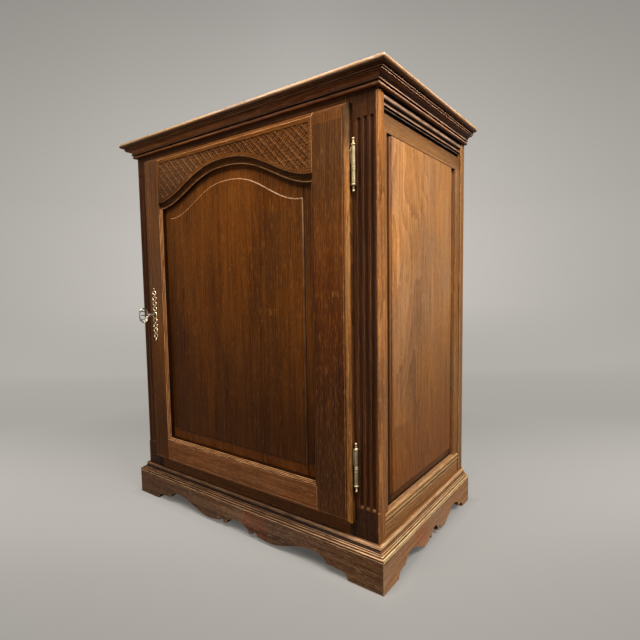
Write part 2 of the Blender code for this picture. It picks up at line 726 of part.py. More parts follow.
for name, sign in (("hinge", 1), ("lock", -1)):
    x = sorted((frame_middle + sign * frame_half, sign * door_half))
    stile = block(x, (edge_face, door_back), (door_low, door_high))
    lip = edges_at(stile, x=sign * door_half, y=edge_face)
    lip += edges_at(stile, y=edge_face, z=door_low) + edges_at(stile, y=edge_face, z=door_high)
    piece("door_stile_" + name, moulded_edge(stile, lip), DARK_OAK, door_axis)
rail_half = frame_half - GAP
rail_x = (frame_middle - rail_half, frame_middle + rail_half)
bottom_rail = block(rail_x, (edge_face, door_back), (door_low, frame_low))
moulded_edge(bottom_rail, edges_at(bottom_rail, y=edge_face, z=door_low))
piece("door_bottom_rail", bottom_rail, DARK_OAK, door_axis)


arch_reach = frame_half - ARCH_SHOULDER


def lift(across, reach, rise):
    # Height of an arch above its ends, at a distance from its middle.
    share = min(1, abs(across) / reach)
    return rise * (1 + cos(pi * share ** ARCH_FULLNESS)) / 2


def arch(lower=0.0):
    # The arched upper edge of the door's opening, from right to left, set down by a clearance.
    points = [(rail_x[1], arch_base - lower)]
    for step in range(1, ARCH_STEPS):
        across = arch_reach * (1 - 2 * step / ARCH_STEPS)
        points.append((frame_middle + across, arch_base - lower + lift(across, arch_reach, ARCH_RISE)))
    points.append((rail_x[0], arch_base - lower))
    return points


top_outline = arch() + [(rail_x[0], door_high), (rail_x[1], door_high)]
top_rail = plate([top_outline], FRONT, edge_face, door_back)
one_face(top_rail, FORWARD)
moulded_edge(top_rail, edges_at(top_rail, y=edge_face, z=door_high))
piece("door_top_rail", top_rail, DARK_OAK, door_axis)

# Door mouldings: a reeded ring inside the frame, parted at its mitres, and a hollow one under the arch

frame_outline = arch(GAP) + [(rail_x[0], frame_low + GAP), (rail_x[1], frame_low + GAP)]


def moulding_ring():
    # Each reed falls away in three facets; the ring's hole is the panel's sight edge.
    ring = plate([frame_outline], FRONT, door_face, moulding_back)
    reed = (
        (0.35 * REED_WIDTH, -0.15 * REED_DROP),
        (0.45 * REED_WIDTH, -0.35 * REED_DROP),
        (0.20 * REED_WIDTH, -0.50 * REED_DROP),
    )
    field = raise_field(ring, FORWARD, reed * REED_COUNT + ((MOULDING_FILLET, 0),))
    sight = [edge for edge in field.edges]
    back = one_face(ring, -FORWARD)
    bmesh.ops.inset_region(ring, faces=[back], thickness=moulding_width, use_even_offset=True)
    hole = sight + back.edges[:]
    bmesh.ops.delete(ring, geom=[field, back], context="FACES_ONLY")
    bmesh.ops.bridge_loops(ring, edges=hole)
    return weld(ring)


def mitre(sign, upper, towards_ring_end):
    # A mitre at one corner of the ring, and which of the two pieces there is cut away.
    height = arch_base - GAP if upper else frame_low + GAP
    away = Vector((sign, 0, -1 if upper else 1)).normalized() * (1 if towards_ring_end else -1)
    return Vector((frame_middle + sign * rail_half, 0, height)) - away * GAP / 2, away


def arched_moulding():
    # A hollow over a bead, drawn out straight along the rail and then lifted into the arch.
    top = arch_base - GAP
    bead_top = top - ARCH_COVE
    bead_back = door_face + ARCH_COVE_DEPTH
    profile = arc((door_face, bead_top), (ARCH_COVE_DEPTH, ARCH_COVE), pi / 2, 0)
    profile += arc((bead_back, bead_top - ARCH_BEAD / 2), (ARCH_BEAD / 2,) * 2, pi / 2, 3 * pi / 2)[1:]
    profile += [(moulding_back, bead_top - ARCH_BEAD), (moulding_back, top)]
    strip = plate([profile], SIDE, *rail_x)
    for across, _ in arch()[1:-1]:
        geometry = strip.verts[:] + strip.edges[:] + strip.faces[:]
        bmesh.ops.bisect_plane(strip, geom=geometry, plane_co=(across, 0, 0), plane_no=(1, 0, 0))
    for vert in strip.verts:
        vert.co.z += lift(vert.co.x - frame_middle, arch_reach, ARCH_RISE)
    return weld(strip)


piece("door_moulding_top", arched_moulding(), DARK_OAK, door_axis)
bottom_strip = moulding_ring()
for sign in SIDES.values():
    trim(bottom_strip, *mitre(sign, False, True))
piece("door_moulding_bottom", bottom_strip, DARK_OAK, door_axis)
arch_foot = arch_base - ARCH_COVE - ARCH_BEAD - 2 * GAP
for side, sign in SIDES.items():
    strip = moulding_ring()
    for upper in (True, False):
        trim(strip, *mitre(sign, upper, False))
    trim(strip, Vector((0, 0, arch_foot)), Vector((0, 0, 1)))
    piece("door_moulding_" + side, strip, DARK_OAK, door_axis)

door_panel = plate([frame_outline], FRONT, moulding_back + GAP, door_back)
field = raise_field(door_panel, FORWARD, ((moulding_width + GAP, 0),))
door_middle = (frame_low + arch_base) / 2
for vert in field.verts:
    if vert.co.z > door_middle:
        vert.co.z = arch_foot + lift(vert.co.x - frame_middle, arch_reach, ARCH_RISE)
bmesh.ops.inset_region(
    door_panel, faces=[field], thickness=GAP, depth=DOOR_FIELD_RISE - FIELD_STEP, use_even_offset=True
)
bevel_end = moulding_width + DOOR_BEVEL
field_half = rail_half - bevel_end
shrink = field_half / (max(vert.co.x for vert in field.verts) - frame_middle)
for vert in field.verts:
    across = (vert.co.x - frame_middle) * shrink
    vert.co.x = frame_middle + across
    if vert.co.z < door_middle:
        vert.co.z = frame_low + bevel_end
    else:
        vert.co.z = arch_foot - DOOR_BEVEL + lift(across, field_half - FIELD_SHOULDER, FIELD_ARCH_RISE)
bmesh.ops.inset_region(
    door_panel, faces=[field], thickness=FIELD_STEP / 2, depth=FIELD_STEP, use_even_offset=True
)
piece("door_panel", weld(door_panel), DARK_OAK, door_axis)


# Hinges

def finial(base, up):
    # From the barrel's end outwards: ring, neck and ball, as radius and height; up is 1 or -1.
    ring_end = base + up * FINIAL_RING
    neck_end = ring_end + up * FINIAL_NECK
    middle = neck_end + up * 0.7 * FINIAL_BALL_RADIUS
    points = [(FINIAL_RING_RADIUS, base + up * FINIAL_RING * share) for share in (0.3, 0.6)]
    points += [(FINIAL_NECK_RADIUS, ring_end), (FINIAL_NECK_RADIUS * 0.8, neck_end - up * FINIAL_NECK * 0.3)]
    for angle, height in arc((0, middle), (FINIAL_BALL_RADIUS, up * FINIAL_BALL_RADIUS), -pi / 4, pi / 2):
        points.append((max(angle, 0), height))
    points[-1] = (0, points[-1][1])
    return points


hinge_stile = bpy.data.objects["door_stile_hinge"]
hinge_post = bpy.data.objects["front_post_right"]
bore_radius = PIN_RADIUS + PIN_CLEARANCE
for level, middle in hinge_heights.items():
    low = middle - barrel / 2
    frame_top = low + FRAME_KNUCKLE
    door_bottom = frame_top + SLEEVE_LENGTH
    door_top = door_bottom + DOOR_KNUCKLE
    bore_low = frame_top - PIN_ENGAGEMENT
    bore_high = door_bottom + PIN_ENGAGEMENT

    profile = list(reversed(finial(door_top, 1))) + [(KNUCKLE_RADIUS, door_top)]
    profile += [(KNUCKLE_RADIUS, door_bottom), (0, door_bottom)]
    knuckle = turned("hinge_door_knuckle_" + level, profile, hinge_x, hinge_y, BRASS, door_axis)
    leaf_x = (door_half - DOOR_LEAF_DEPTH, hinge_x - bore_radius - PIN_CLEARANCE)
    leaf_y = (hinge_y - LEAF_THICKNESS / 2, hinge_y + LEAF_THICKNESS / 2)
    leaf_z = (door_bottom + LEAF_MARGIN, door_top - LEAF_MARGIN)
    combine(knuckle, block(leaf_x, leaf_y, leaf_z), "UNION")
    combine(knuckle, rod((hinge_x, hinge_y, low), (hinge_x, hinge_y, bore_high), bore_radius))
    slot_z = (leaf_z[0] - GAP, leaf_z[1] + GAP)
    slot = block((leaf_x[0] - GAP, hinge_x), (hinge_y - leaf_half, hinge_y + leaf_half), slot_z)
    combine(hinge_stile, slot)

    profile = [(0, frame_top), (KNUCKLE_RADIUS, frame_top), (KNUCKLE_RADIUS, low)] + finial(low, -1)
    knuckle = turned("hinge_frame_knuckle_" + level, profile, hinge_x, hinge_y, BRASS, root)
    leaf_x = (hinge_x - LEAF_THICKNESS / 2, hinge_x + LEAF_THICKNESS / 2)
    leaf_y = (hinge_y + bore_radius + PIN_CLEARANCE, FRAME_LEAF_DEPTH)
    leaf_z = (low + LEAF_MARGIN, frame_top - LEAF_MARGIN)
    combine(knuckle, block(leaf_x, leaf_y, leaf_z), "UNION")
    combine(knuckle, rod((hinge_x, hinge_y, bore_low), (hinge_x, hinge_y, door_bottom), bore_radius))
    slot_z = (leaf_z[0] - GAP, leaf_z[1] + GAP)
    slot = block((hinge_x - leaf_half, hinge_x + leaf_half), (hinge_y, FRAME_LEAF_DEPTH + GAP), slot_z)
    combine(hinge_post, slot)

    sleeve = (frame_top + GAP, door_bottom - GAP)
    profile = [(SLEEVE_RADIUS, sleeve[1]), (SLEEVE_RADIUS, sleeve[0])]
    profile += [(bore_radius, sleeve[0]), (bore_radius, sleeve[1])]
    turned("hinge_sleeve_" + level, profile, hinge_x, hinge_y, BRASS, root, closed=True)
    pin = rod((hinge_x, hinge_y, bore_low + GAP), (hinge_x, hinge_y, bore_high - GAP), PIN_RADIUS)
    piece("hinge_pin_" + level, pin, STEEL, smooth=True)


# Lock

def keyhole():
    # A round hole with a slot below it that the key's bit passes through.
    radius = KEY_SHANK_RADIUS + KEYHOLE_CLEARANCE
    slot = KEY_BIT_THICKNESS / 2 + KEYHOLE_CLEARANCE
    foot = KEY_HEIGHT - KEY_BIT_REACH - 2 * KEYHOLE_CLEARANCE
    turn = acos(slot / radius)
    points = arc((key_x, KEY_HEIGHT), (radius, radius), -turn, pi + turn, ROUND_SIDES)
    return points + [(key_x - slot, foot), (key_x + slot, foot)]


lock_stile = bpy.data.objects["door_stile_lock"]
combine(lock_stile, plate([keyhole()], FRONT, door_face - DOOR_THICKNESS, door_back + DOOR_THICKNESS))

escutcheon = []
for step in range(12 * ARC_STEPS + 1):
    along = 1 - step / (6 * ARC_STEPS)
    lobes = 0.62 + 0.38 * cos(4 * pi * along)
    taper = 1 - 0.55 * abs(along) ** 3
    escutcheon.append((lobes * taper * ESCUTCHEON_WIDTH / 2, along * ESCUTCHEON_LENGTH / 2))
right = [(key_x + across, KEY_HEIGHT + up) for across, up in escutcheon]
left = [(key_x - across, KEY_HEIGHT + up) for across, up in reversed(escutcheon)]
cover = plate([right + left, keyhole()], FRONT, escutcheon_face, door_face - GAP)
piece("escutcheon", cover, BRASS, door_axis)

lock_x = (lock_edge, lock_edge + LOCK_WIDTH)
lock_y = (lock_front, lock_front + LOCK_DEPTH)
lock_z = (KEY_HEIGHT - LOCK_BELOW_KEY, KEY_HEIGHT + LOCK_ABOVE_KEY)
case = piece("lock_case", block(lock_x, lock_y, lock_z), STEEL, door_axis)
hollow_x = (lock_x[0] + LOCK_WALL, lock_x[1] - LOCK_WALL)
hollow_z = (lock_z[0] + LOCK_WALL, lock_z[1] - LOCK_WALL)
combine(case, block(hollow_x, (lock_y[0] - LOCK_WALL, lock_y[1] - LOCK_WALL), hollow_z))
bolt_way_y = (bolt_front - GAP, bolt_back + GAP)
bolt_way_z = (bolt_low - GAP, bolt_high + GAP)
combine(case, block((lock_x[0] - LOCK_WALL, lock_x[0] + 2 * LOCK_WALL), bolt_way_y, bolt_way_z))

# The bit enters the bolt's notch on the right and leaves it, half a turn on, with the bolt thrown.
enter = acos(BOLT_RISE / KEY_BIT_REACH)
notch_right = key_x + KEY_BIT_REACH * sin(enter) + BOLT_TRAVEL * (pi - enter) / pi
notch_left = key_x + BOLT_TRAVEL
notch_side = KEY_BIT_THICKNESS / 2 + NOTCH_CLEARANCE
notch_top = KEY_HEIGHT + KEY_BIT_REACH + NOTCH_CLEARANCE
bolt_outline = [
    (lock_edge, bolt_low),
    (notch_left - notch_side, bolt_low),
    (notch_left - notch_side, notch_top),
    (notch_right + notch_side, notch_top),
    (notch_right + notch_side, bolt_low),
    (lock_edge + BOLT_LENGTH, bolt_low),
    (lock_edge + BOLT_LENGTH, bolt_high),
    (lock_edge, bolt_high),
]
piece("lock_bolt", plate([bolt_outline], FRONT, bolt_front, bolt_back), STEEL, bolt_axis)

strike_y = (bolt_front - MORTISE_CLEARANCE, bolt_back + MORTISE_CLEARANCE)
strike_z = (bolt_low - MORTISE_CLEARANCE, bolt_high + MORTISE_CLEARANCE)
mortise_end = lock_edge - BOLT_TRAVEL - LOCK_WALL
lock_post = bpy.data.objects["front_post_left"]
combine(lock_post, block((mortise_end, -opening_half + POST_WIDTH / 2), strike_y, strike_z))
strike_hole = [
    (strike_y[0], strike_z[0]),
    (strike_y[0], strike_z[1]),
    (strike_y[1], strike_z[1]),
    (strike_y[1], strike_z[0]),
]
strike_low = strike_z[0] - STRIKE_MARGIN
strike_high = strike_z[1] + STRIKE_MARGIN
strike_back = strike_y[1] + STRIKE_MARGIN
strike = [(GAP, strike_low), (strike_back, strike_low), (strike_back, strike_high), (GAP, strike_high)]
strike_x = (-(opening_half - GAP), -(opening_half - GAP - STRIKE_THICKNESS))
piece("strike_plate", plate([strike, strike_hole], SIDE, *strike_x), BRASS)

# Key: pierced bow, collar, shank and bit

bow_middle = (key_front + BOW_LENGTH / 2, KEY_HEIGHT)
bow = arc(bow_middle, (BOW_LENGTH / 2, BOW_HEIGHT / 2), 0, 2 * pi, ROUND_SIDES)[:-1]
hole_radii = (BOW_LENGTH / 2 - BOW_RIM, BOW_HEIGHT / 2 - BOW_RIM)
bar = BOW_RIM / 2 / hole_radii[1]
upper_hole = arc(bow_middle, hole_radii, bar, pi - bar, 2 * ARC_STEPS)
lower_hole = [(along, 2 * KEY_HEIGHT - up) for along, up in upper_hole]
bow_x = (key_x - BOW_THICKNESS / 2, key_x + BOW_THICKNESS / 2)
key = piece("key", plate([bow, upper_hole, lower_hole], SIDE, *bow_x), BRASS, key_axis)
shank_start = key_front + BOW_LENGTH - BOW_RIM / 2
shank_end = bolt_back + KEY_TIP
shank = rod((key_x, shank_start, KEY_HEIGHT), (key_x, shank_end, KEY_HEIGHT), KEY_SHANK_RADIUS)
combine(key, shank, "UNION")
collar = key_front + BOW_LENGTH
ring = rod((key_x, collar, KEY_HEIGHT), (key_x, collar + KEY_COLLAR, KEY_HEIGHT), KEY_COLLAR_RADIUS)
combine(key, ring, "UNION")
bit_middle = (bolt_front + bolt_back) / 2
bit_x = (key_x - KEY_BIT_THICKNESS / 2, key_x + KEY_BIT_THICKNESS / 2)
bit_y = (bit_middle - KEY_BIT_WIDTH / 2, bit_middle + KEY_BIT_WIDTH / 2)
combine(key, block(bit_x, bit_y, (KEY_HEIGHT - KEY_BIT_REACH, KEY_HEIGHT)), "UNION")
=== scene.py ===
from math import cos, pi, radians, sin

import bpy
from mathutils import Matrix, Vector


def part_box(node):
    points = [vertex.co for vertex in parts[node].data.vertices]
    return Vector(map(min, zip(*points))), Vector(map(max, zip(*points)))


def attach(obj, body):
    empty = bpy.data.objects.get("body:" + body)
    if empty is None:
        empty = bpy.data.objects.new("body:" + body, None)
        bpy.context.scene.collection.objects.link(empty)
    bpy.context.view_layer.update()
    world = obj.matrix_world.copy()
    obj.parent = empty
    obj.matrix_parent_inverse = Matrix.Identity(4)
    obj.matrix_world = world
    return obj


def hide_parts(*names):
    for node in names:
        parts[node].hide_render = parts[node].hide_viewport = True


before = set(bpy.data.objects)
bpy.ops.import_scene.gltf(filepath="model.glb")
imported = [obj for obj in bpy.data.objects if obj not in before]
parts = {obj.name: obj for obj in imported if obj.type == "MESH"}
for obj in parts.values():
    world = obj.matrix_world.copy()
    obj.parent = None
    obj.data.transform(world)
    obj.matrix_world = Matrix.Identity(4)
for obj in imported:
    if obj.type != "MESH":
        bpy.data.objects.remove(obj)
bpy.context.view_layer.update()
print("frame loaded,", len(parts), "nodes")


# modelling helpers

def onlySelect(*objects):
    bpy.ops.object.select_all(action="DESELECT")
    for item in objects:
        item.select_set(True)
    bpy.context.view_layer.objects.active = objects[0]


def editing(item, mode="VERT"):
    onlySelect(item)
    bpy.ops.object.mode_set(mode="EDIT")
    bpy.ops.mesh.select_mode(type=mode)
    bpy.ops.mesh.select_all(action="SELECT")


def doneEditing():
    bpy.ops.object.mode_set(mode="OBJECT")
    return bpy.context.object


def named(item, name):
    item.name = name
    item.data.name = name
    return item


def applyPlace(item):
    onlySelect(item)
    bpy.ops.object.transform_apply(location=True, rotation=True, scale=True)
    return item


def applyModifier(item, kind, **settings):
    onlySelect(item)
    made = item.modifiers.new(kind.lower(), kind)
    for key, value in settings.items():
        setattr(made, key, value)
    bpy.ops.object.modifier_apply(modifier=made.name)
    return item


def joined(name, *items):
    onlySelect(*items)
    bpy.ops.object.join()
    return named(bpy.context.object, name)


def boxBetween(name, low, high, rounding=0.0):
    low, high = Vector(low), Vector(high)
    bpy.ops.mesh.primitive_cube_add(size=1, location=(low + high) / 2)
    item = named(bpy.context.object, name)
    item.scale = high - low
    applyPlace(item)
    if rounding:
        editing(item, "EDGE")
        bpy.ops.mesh.bevel(offset=rounding, segments=2, affect="EDGES")
        doneEditing()
    return item


def drawLine(name, places):
    # one vertex drawn from place to place; the mesh stays in edit mode, all selected
    bpy.ops.mesh.primitive_plane_add(size=0.01, location=(0, 0, 0))
    editing(named(bpy.context.object, name))
    bpy.ops.mesh.merge(type="CENTER")
    bpy.ops.transform.translate(value=places[0])
    for here, there in zip(places, places[1:]):
        bpy.ops.mesh.extrude_vertices_move(TRANSFORM_OT_translate={"value": there - here})
    bpy.ops.mesh.select_all(action="SELECT")


def turned(name, profile, centre, axis="Z", steps=32):
    # a profile of (radius, height) spun about the axis
    out, up = {"Z": ((1, 0, 0), (0, 0, 1)), "Y": ((1, 0, 0), (0, 1, 0))}[axis]
    drawLine(name, [Vector(centre) + Vector(out) * wide + Vector(up) * height for wide, height in profile])
    bpy.ops.mesh.spin(steps=steps, angle=2 * pi, center=centre, axis=up)
    bpy.ops.mesh.select_all(action="SELECT")
    bpy.ops.mesh.remove_doubles(threshold=0.000002)
    bpy.ops.mesh.normals_make_consistent(inside=False)
    return doneEditing()


def stroke(points, radius, thin=None, closed=False):
    # a bent rod along points; thin gives its share of the radius at each end
    curve = bpy.data.curves.new("stroke", "CURVE")
    curve.dimensions = "3D"
    curve.bevel_depth = radius
    curve.bevel_resolution = 4
    curve.use_fill_caps = True
    spline = curve.splines.new("POLY")
    spline.points.add(len(points) - 1)
    for index, (point, place) in enumerate(zip(spline.points, points)):
        point.co = (*place, 1)
        if thin:
            point.radius = thin + (1 - thin) * sin(pi * index / (len(points) - 1)) ** 0.5
    spline.use_cyclic_u = closed
    item = bpy.data.objects.new("stroke", curve)
    bpy.context.scene.collection.objects.link(item)
    onlySelect(item)
    bpy.ops.object.convert(target="MESH")
    return bpy.context.object


def smooth(item, angle=40):
    onlySelect(item)
    bpy.ops.object.shade_smooth_by_angle(angle=radians(angle))
    return item


# material helpers

def startMaterial(name):
    material = bpy.data.materials.new(name)
    material.use_nodes = True
    tree = material.node_tree
    tree.nodes.clear()
    output = tree.nodes.new("ShaderNodeOutputMaterial")
    shader = tree.nodes.new("ShaderNodeBsdfPrincipled")
    tree.links.new(shader.outputs["BSDF"], output.inputs["Surface"])
    return material, tree, shader


def node(tree, kind, sockets=None, **settings):
    made = tree.nodes.new("ShaderNode" + kind)
    for key, value in settings.items():
        setattr(made, key, value)
    for socket, value in (sockets or {}).items():
        if isinstance(value, bpy.types.NodeSocket):
            tree.links.new(value, made.inputs[socket])
        else:
            made.inputs[socket].default_value = value
    return made


def sums(tree, operation, first, second, third=0.0):
    return node(tree, "Math", {0: first, 1: second, 2: third}, operation=operation).outputs[0]


def times(tree, first, second):
    return sums(tree, "MULTIPLY", first, second)


def spread(tree, value, low, high, newLow=0.0, newHigh=1.0):
    sockets = {"Value": value, "From Min": low, "From Max": high, "To Min": newLow, "To Max": newHigh}
    return node(tree, "MapRange", sockets).outputs["Result"]


def speckle(tree, coords, scale, detail=2.0, roughness=0.55, shift=(0, 0, 0)):
    placed = node(tree, "Mapping", {"Vector": coords, "Location": shift, "Scale": scale}).outputs["Vector"]
    sockets = {"Vector": placed, "Scale": 1.0, "Detail": detail, "Roughness": roughness}
    return node(tree, "TexNoise", sockets)


def blended(tree, way, factor, first, second):
    made = node(tree, "Mix", data_type="RGBA", blend_type=way)
    for socket, value in ((made.inputs[0], factor), (made.inputs[6], first), (made.inputs[7], second)):
        if isinstance(value, bpy.types.NodeSocket):
            tree.links.new(value, socket)
        else:
            socket.default_value = value if isinstance(value, float) else (*value, 1.0)
    return made.outputs[2]


grainAxis = {"x": 0, "y": 1, "z": 2}


def along(grain, across, run):
    scale = [across, across, across]
    scale[grainAxis[grain]] = run
    return scale


def nearness(tree, reach):
    # 1 in the open, falling to 0 in corners and grooves
    return node(tree, "AmbientOcclusion", {"Distance": reach}, samples=6, only_local=True).outputs["AO"]


# oak: stained and waxed, with growth rings, pores, streaks and specks, its arrises lightened partly for wear
# and partly as painted highlight, and its hollows darkened partly for dirt and partly as painted shade
# dark, middle and light of each tone
# the side tone is the front's oak made lighter, painted light where the lamp falls on the side; the frieze
# tone is darker, partly for dirt and partly as painted shade under the cornice; the cornice tone is lighter
# and redder, painted light on its members in shade; the top board's tone is lightened partly for wear and
# partly as a painted highlight on the nosing
oakTones = {
    "front": ((0.038, 0.0112, 0.0020), (0.094, 0.0300, 0.0052), (0.172, 0.0620, 0.0125)),
    "post": ((0.027, 0.0085, 0.0022), (0.070, 0.0230, 0.0056), (0.132, 0.0490, 0.0135)),
    "side": ((0.150, 0.0600, 0.0160), (0.260, 0.1150, 0.0340), (0.360, 0.1750, 0.0600)),
    "frieze": ((0.040, 0.0150, 0.0050), (0.098, 0.0400, 0.0135), (0.175, 0.0800, 0.0300)),
    "cornice": ((0.065, 0.0190, 0.0058), (0.165, 0.0560, 0.0175), (0.290, 0.1250, 0.0450)),
    "scuffed": ((0.030, 0.0115, 0.0040), (0.110, 0.0470, 0.0175), (0.300, 0.1650, 0.0800)),
    "bleached": ((0.140, 0.0520, 0.0150), (0.330, 0.1450, 0.0500), (0.440, 0.2300, 0.1100)),
    "worn": ((0.230, 0.120, 0.050), (0.440, 0.270, 0.130), (0.600, 0.420, 0.240)),
    "inner": ((0.130, 0.074, 0.034), (0.250, 0.150, 0.074), (0.370, 0.240, 0.132)),
}
oakLook = {
    "ringSpacing": 0.0052,
    "streakAcross": 130.0,
    "streakRun": 4.0,
    "poreAcross": 760.0,
    "poreRun": 22.0,
    "edgeLiftAndHighlight": 2.0,
    "bareWood": (0.36, 0.225, 0.125),
    "gloss": {"front": 0.06, "post": 0.06, "cornice": 0.10, "bleached": 0.15, "inner": 0.05},
    "commonGloss": 0.12,
    # reach and strength of the darkening in hollows, partly dirt and partly painted shade
    "dirtAndShadeReach": 0.009,
    "dirtAndPaintedLight": {"frieze": 0.45, "side": 0.6},
}
oakMade = {}


def oak(tone, grain, seed=0, edge=False, stainsAndPaintedLight=()):
    key = "_".join(["oak", tone, grain, str(seed)] + ["edge"] * edge + [stain["name"] for stain in stainsAndPaintedLight])
    if key in oakMade:
        return oakMade[key]
    look = oakLook
    dark, mid, light = oakTones[tone]
    material, tree, shader = startMaterial(key)
    coords = node(tree, "TexCoord").outputs["Object"]
    shift = Vector((3.7, 5.3, 4.1)) * seed
    wander = speckle(tree, coords, along(grain, 7.0, 1.6), 2.0, 0.5, shift).outputs["Color"]
    pith = Vector((0.061 + 0.043 * (seed % 3), 0.092 + 0.031 * (seed % 4), 0.078 + 0.037 * (seed % 5)))
    centred = node(tree, "Mapping", {"Vector": coords, "Location": pith, "Scale": along(grain, 1.0, 0.07)})
    bent = node(tree, "VectorMath", {0: wander, 1: (0.075, 0.075, 0.075), 2: centred.outputs["Vector"]},
                operation="MULTIPLY_ADD").outputs["Vector"]
    ringSockets = {"Vector": bent, "Scale": 2 * pi / 20 / look["ringSpacing"], "Distortion": 1.6,
                   "Detail": 2.0, "Detail Scale": 1.2}
    rings = node(tree, "TexWave", ringSockets, wave_type="RINGS", rings_direction=grain.upper(),
                 wave_profile="SAW").outputs["Fac"]
    streaky = along(grain, look["streakAcross"], look["streakRun"])
    streak = speckle(tree, coords, streaky, 4.0, 0.62, shift).outputs["Fac"]
    patch = speckle(tree, coords, along(grain, 9.0, 2.2), 3.0, 0.55, shift * 1.3).outputs["Fac"]
    porous = along(grain, look["poreAcross"], look["poreRun"])
    pores = spread(tree, speckle(tree, coords, porous, 2.0, 0.6, shift).outputs["Fac"], 0.56, 0.70)
    fleck = speckle(tree, coords, along(grain, 420.0, 95.0), 2.0, 0.6, shift * 0.7).outputs["Fac"]
    tint = times(tree, patch, 0.36)
    for pattern, share in ((rings, 0.13), (streak, 0.40), (fleck, 0.23)):
        tint = sums(tree, "MULTIPLY_ADD", pattern, share, tint)
    ramp = node(tree, "ValToRGB", {"Fac": tint})
    stops = ramp.color_ramp.elements
    stops[0].position, stops[1].position = 0.41, 0.75
    middle = stops.new(0.57)
    for stop, shade in zip((stops[0], middle, stops[2]), (dark, mid, light)):
        stop.color = (*shade, 1)
    colour = ramp.outputs["Color"]
    colour = blended(tree, "MULTIPLY", times(tree, pores, 0.65), colour, (0.34, 0.29, 0.25))
    rays = speckle(tree, coords, along(grain, 300.0, 46.0), 3.0, 0.65, shift * 2.1).outputs["Fac"]
    rayColour = tuple(1.15 * c for c in light)
    colour = blended(tree, "MIX", spread(tree, rays, 0.56, 0.68, 0.0, 0.55), colour, rayColour)
    cloudy = speckle(tree, coords, along(grain, 5.0, 3.2), 3.0, 0.6, shift * 0.9).outputs["Fac"]
    clouds = spread(tree, cloudy, 0.40, 0.62, 0.0, 0.85)
    colour = blended(tree, "MULTIPLY", clouds, colour, (0.80, 0.90, 1.30))
    specks = node(tree, "TexVoronoi", {"Vector": coords, "Scale": 34.0, "Randomness": 1.0})
    rare = node(tree, "SeparateColor", {"Color": specks.outputs["Color"]}).outputs[0]
    dots = times(tree, spread(tree, specks.outputs["Distance"], 0.075, 0.03), spread(tree, rare, 0.80, 0.84))
    colour = blended(tree, "MIX", times(tree, dots, 0.55), colour, tuple(1.5 * c + 0.03 for c in light))
    crevice = nearness(tree, look["dirtAndShadeReach"])
    # the arrises take a lighter bare colour, partly wear and partly a painted highlight where edges catch the
    # light
    if edge:
        rubbed = speckle(tree, coords, along(grain, 160.0, 26.0), 4.0, 0.6, shift).outputs["Fac"]
        lifted = [min(0.6, look["edgeLiftAndHighlight"] * c) for c in light]
        bareAndLit = tuple(0.5 * c + 0.5 * d for c, d in zip(lifted, look["bareWood"]))
        worn = times(tree, spread(tree, rubbed, 0.36, 0.58, 0.25, 0.95), spread(tree, crevice, 0.62, 0.88))
        colour = blended(tree, "MIX", worn, colour, bareAndLit)
    for stain in stainsAndPaintedLight:
        places = node(tree, "SeparateXYZ", {"Vector": coords}).outputs
        reach = places[grainAxis[stain["axis"]]]
        cover = spread(tree, reach, stain["untinted"], stain["full"], 0.0, stain["most"])
        for axis, low, high in stain["within"]:
            place = places[grainAxis[axis]]
            inside = times(tree, sums(tree, "GREATER_THAN", place, low), sums(tree, "LESS_THAN", place, high))
            cover = times(tree, cover, inside)
        if stain["patchy"]:
            cover = times(tree, cover, spread(tree, rays, *stain["patchy"]))
        colour = blended(tree, "MULTIPLY", cover, colour, stain["tint"])
    # hollows darkened, partly dirt and partly painted shade
    dirtAndShadeMask = spread(tree, crevice, 0.92, 0.48, 0.0, look["dirtAndPaintedLight"].get(tone, 0.8))
    colour = blended(tree, "MULTIPLY", dirtAndShadeMask, colour, (0.22, 0.17, 0.13))
    relief = sums(tree, "MULTIPLY_ADD", fleck, 0.25, times(tree, pores, -0.75))
    bump = node(tree, "Bump", {"Strength": 0.22, "Distance": 0.0004, "Height": relief})
    tree.links.new(colour, shader.inputs["Base Color"])
    tree.links.new(spread(tree, patch, 0.25, 0.75, 0.40, 0.54), shader.inputs["Roughness"])
    tree.links.new(bump.outputs["Normal"], shader.inputs["Normal"])
    shader.inputs["Specular IOR Level"].default_value = look["gloss"].get(tone, look["commonGloss"])
    oakMade[key] = material
    return material


# brass and steel
metalLooks = {
    "aged_brass": {"bright": (0.42, 0.34, 0.20), "dull": (0.24, 0.185, 0.10), "grime": (0.06, 0.04, 0.022),
                   "rough": 0.38},
    "rubbed_brass": {"bright": (0.98, 0.84, 0.58), "dull": (0.74, 0.56, 0.31), "grime": (0.20, 0.13, 0.06),
                     "rough": 0.20},
    "key_metal": {"bright": (0.46, 0.41, 0.33), "dull": (0.22, 0.185, 0.14), "grime": (0.04, 0.030, 0.022),
                  "rough": 0.30},
    "lock_steel": {"bright": (0.34, 0.33, 0.32), "dull": (0.16, 0.15, 0.145), "grime": (0.07, 0.045, 0.03),
                   "rough": 0.36},
}


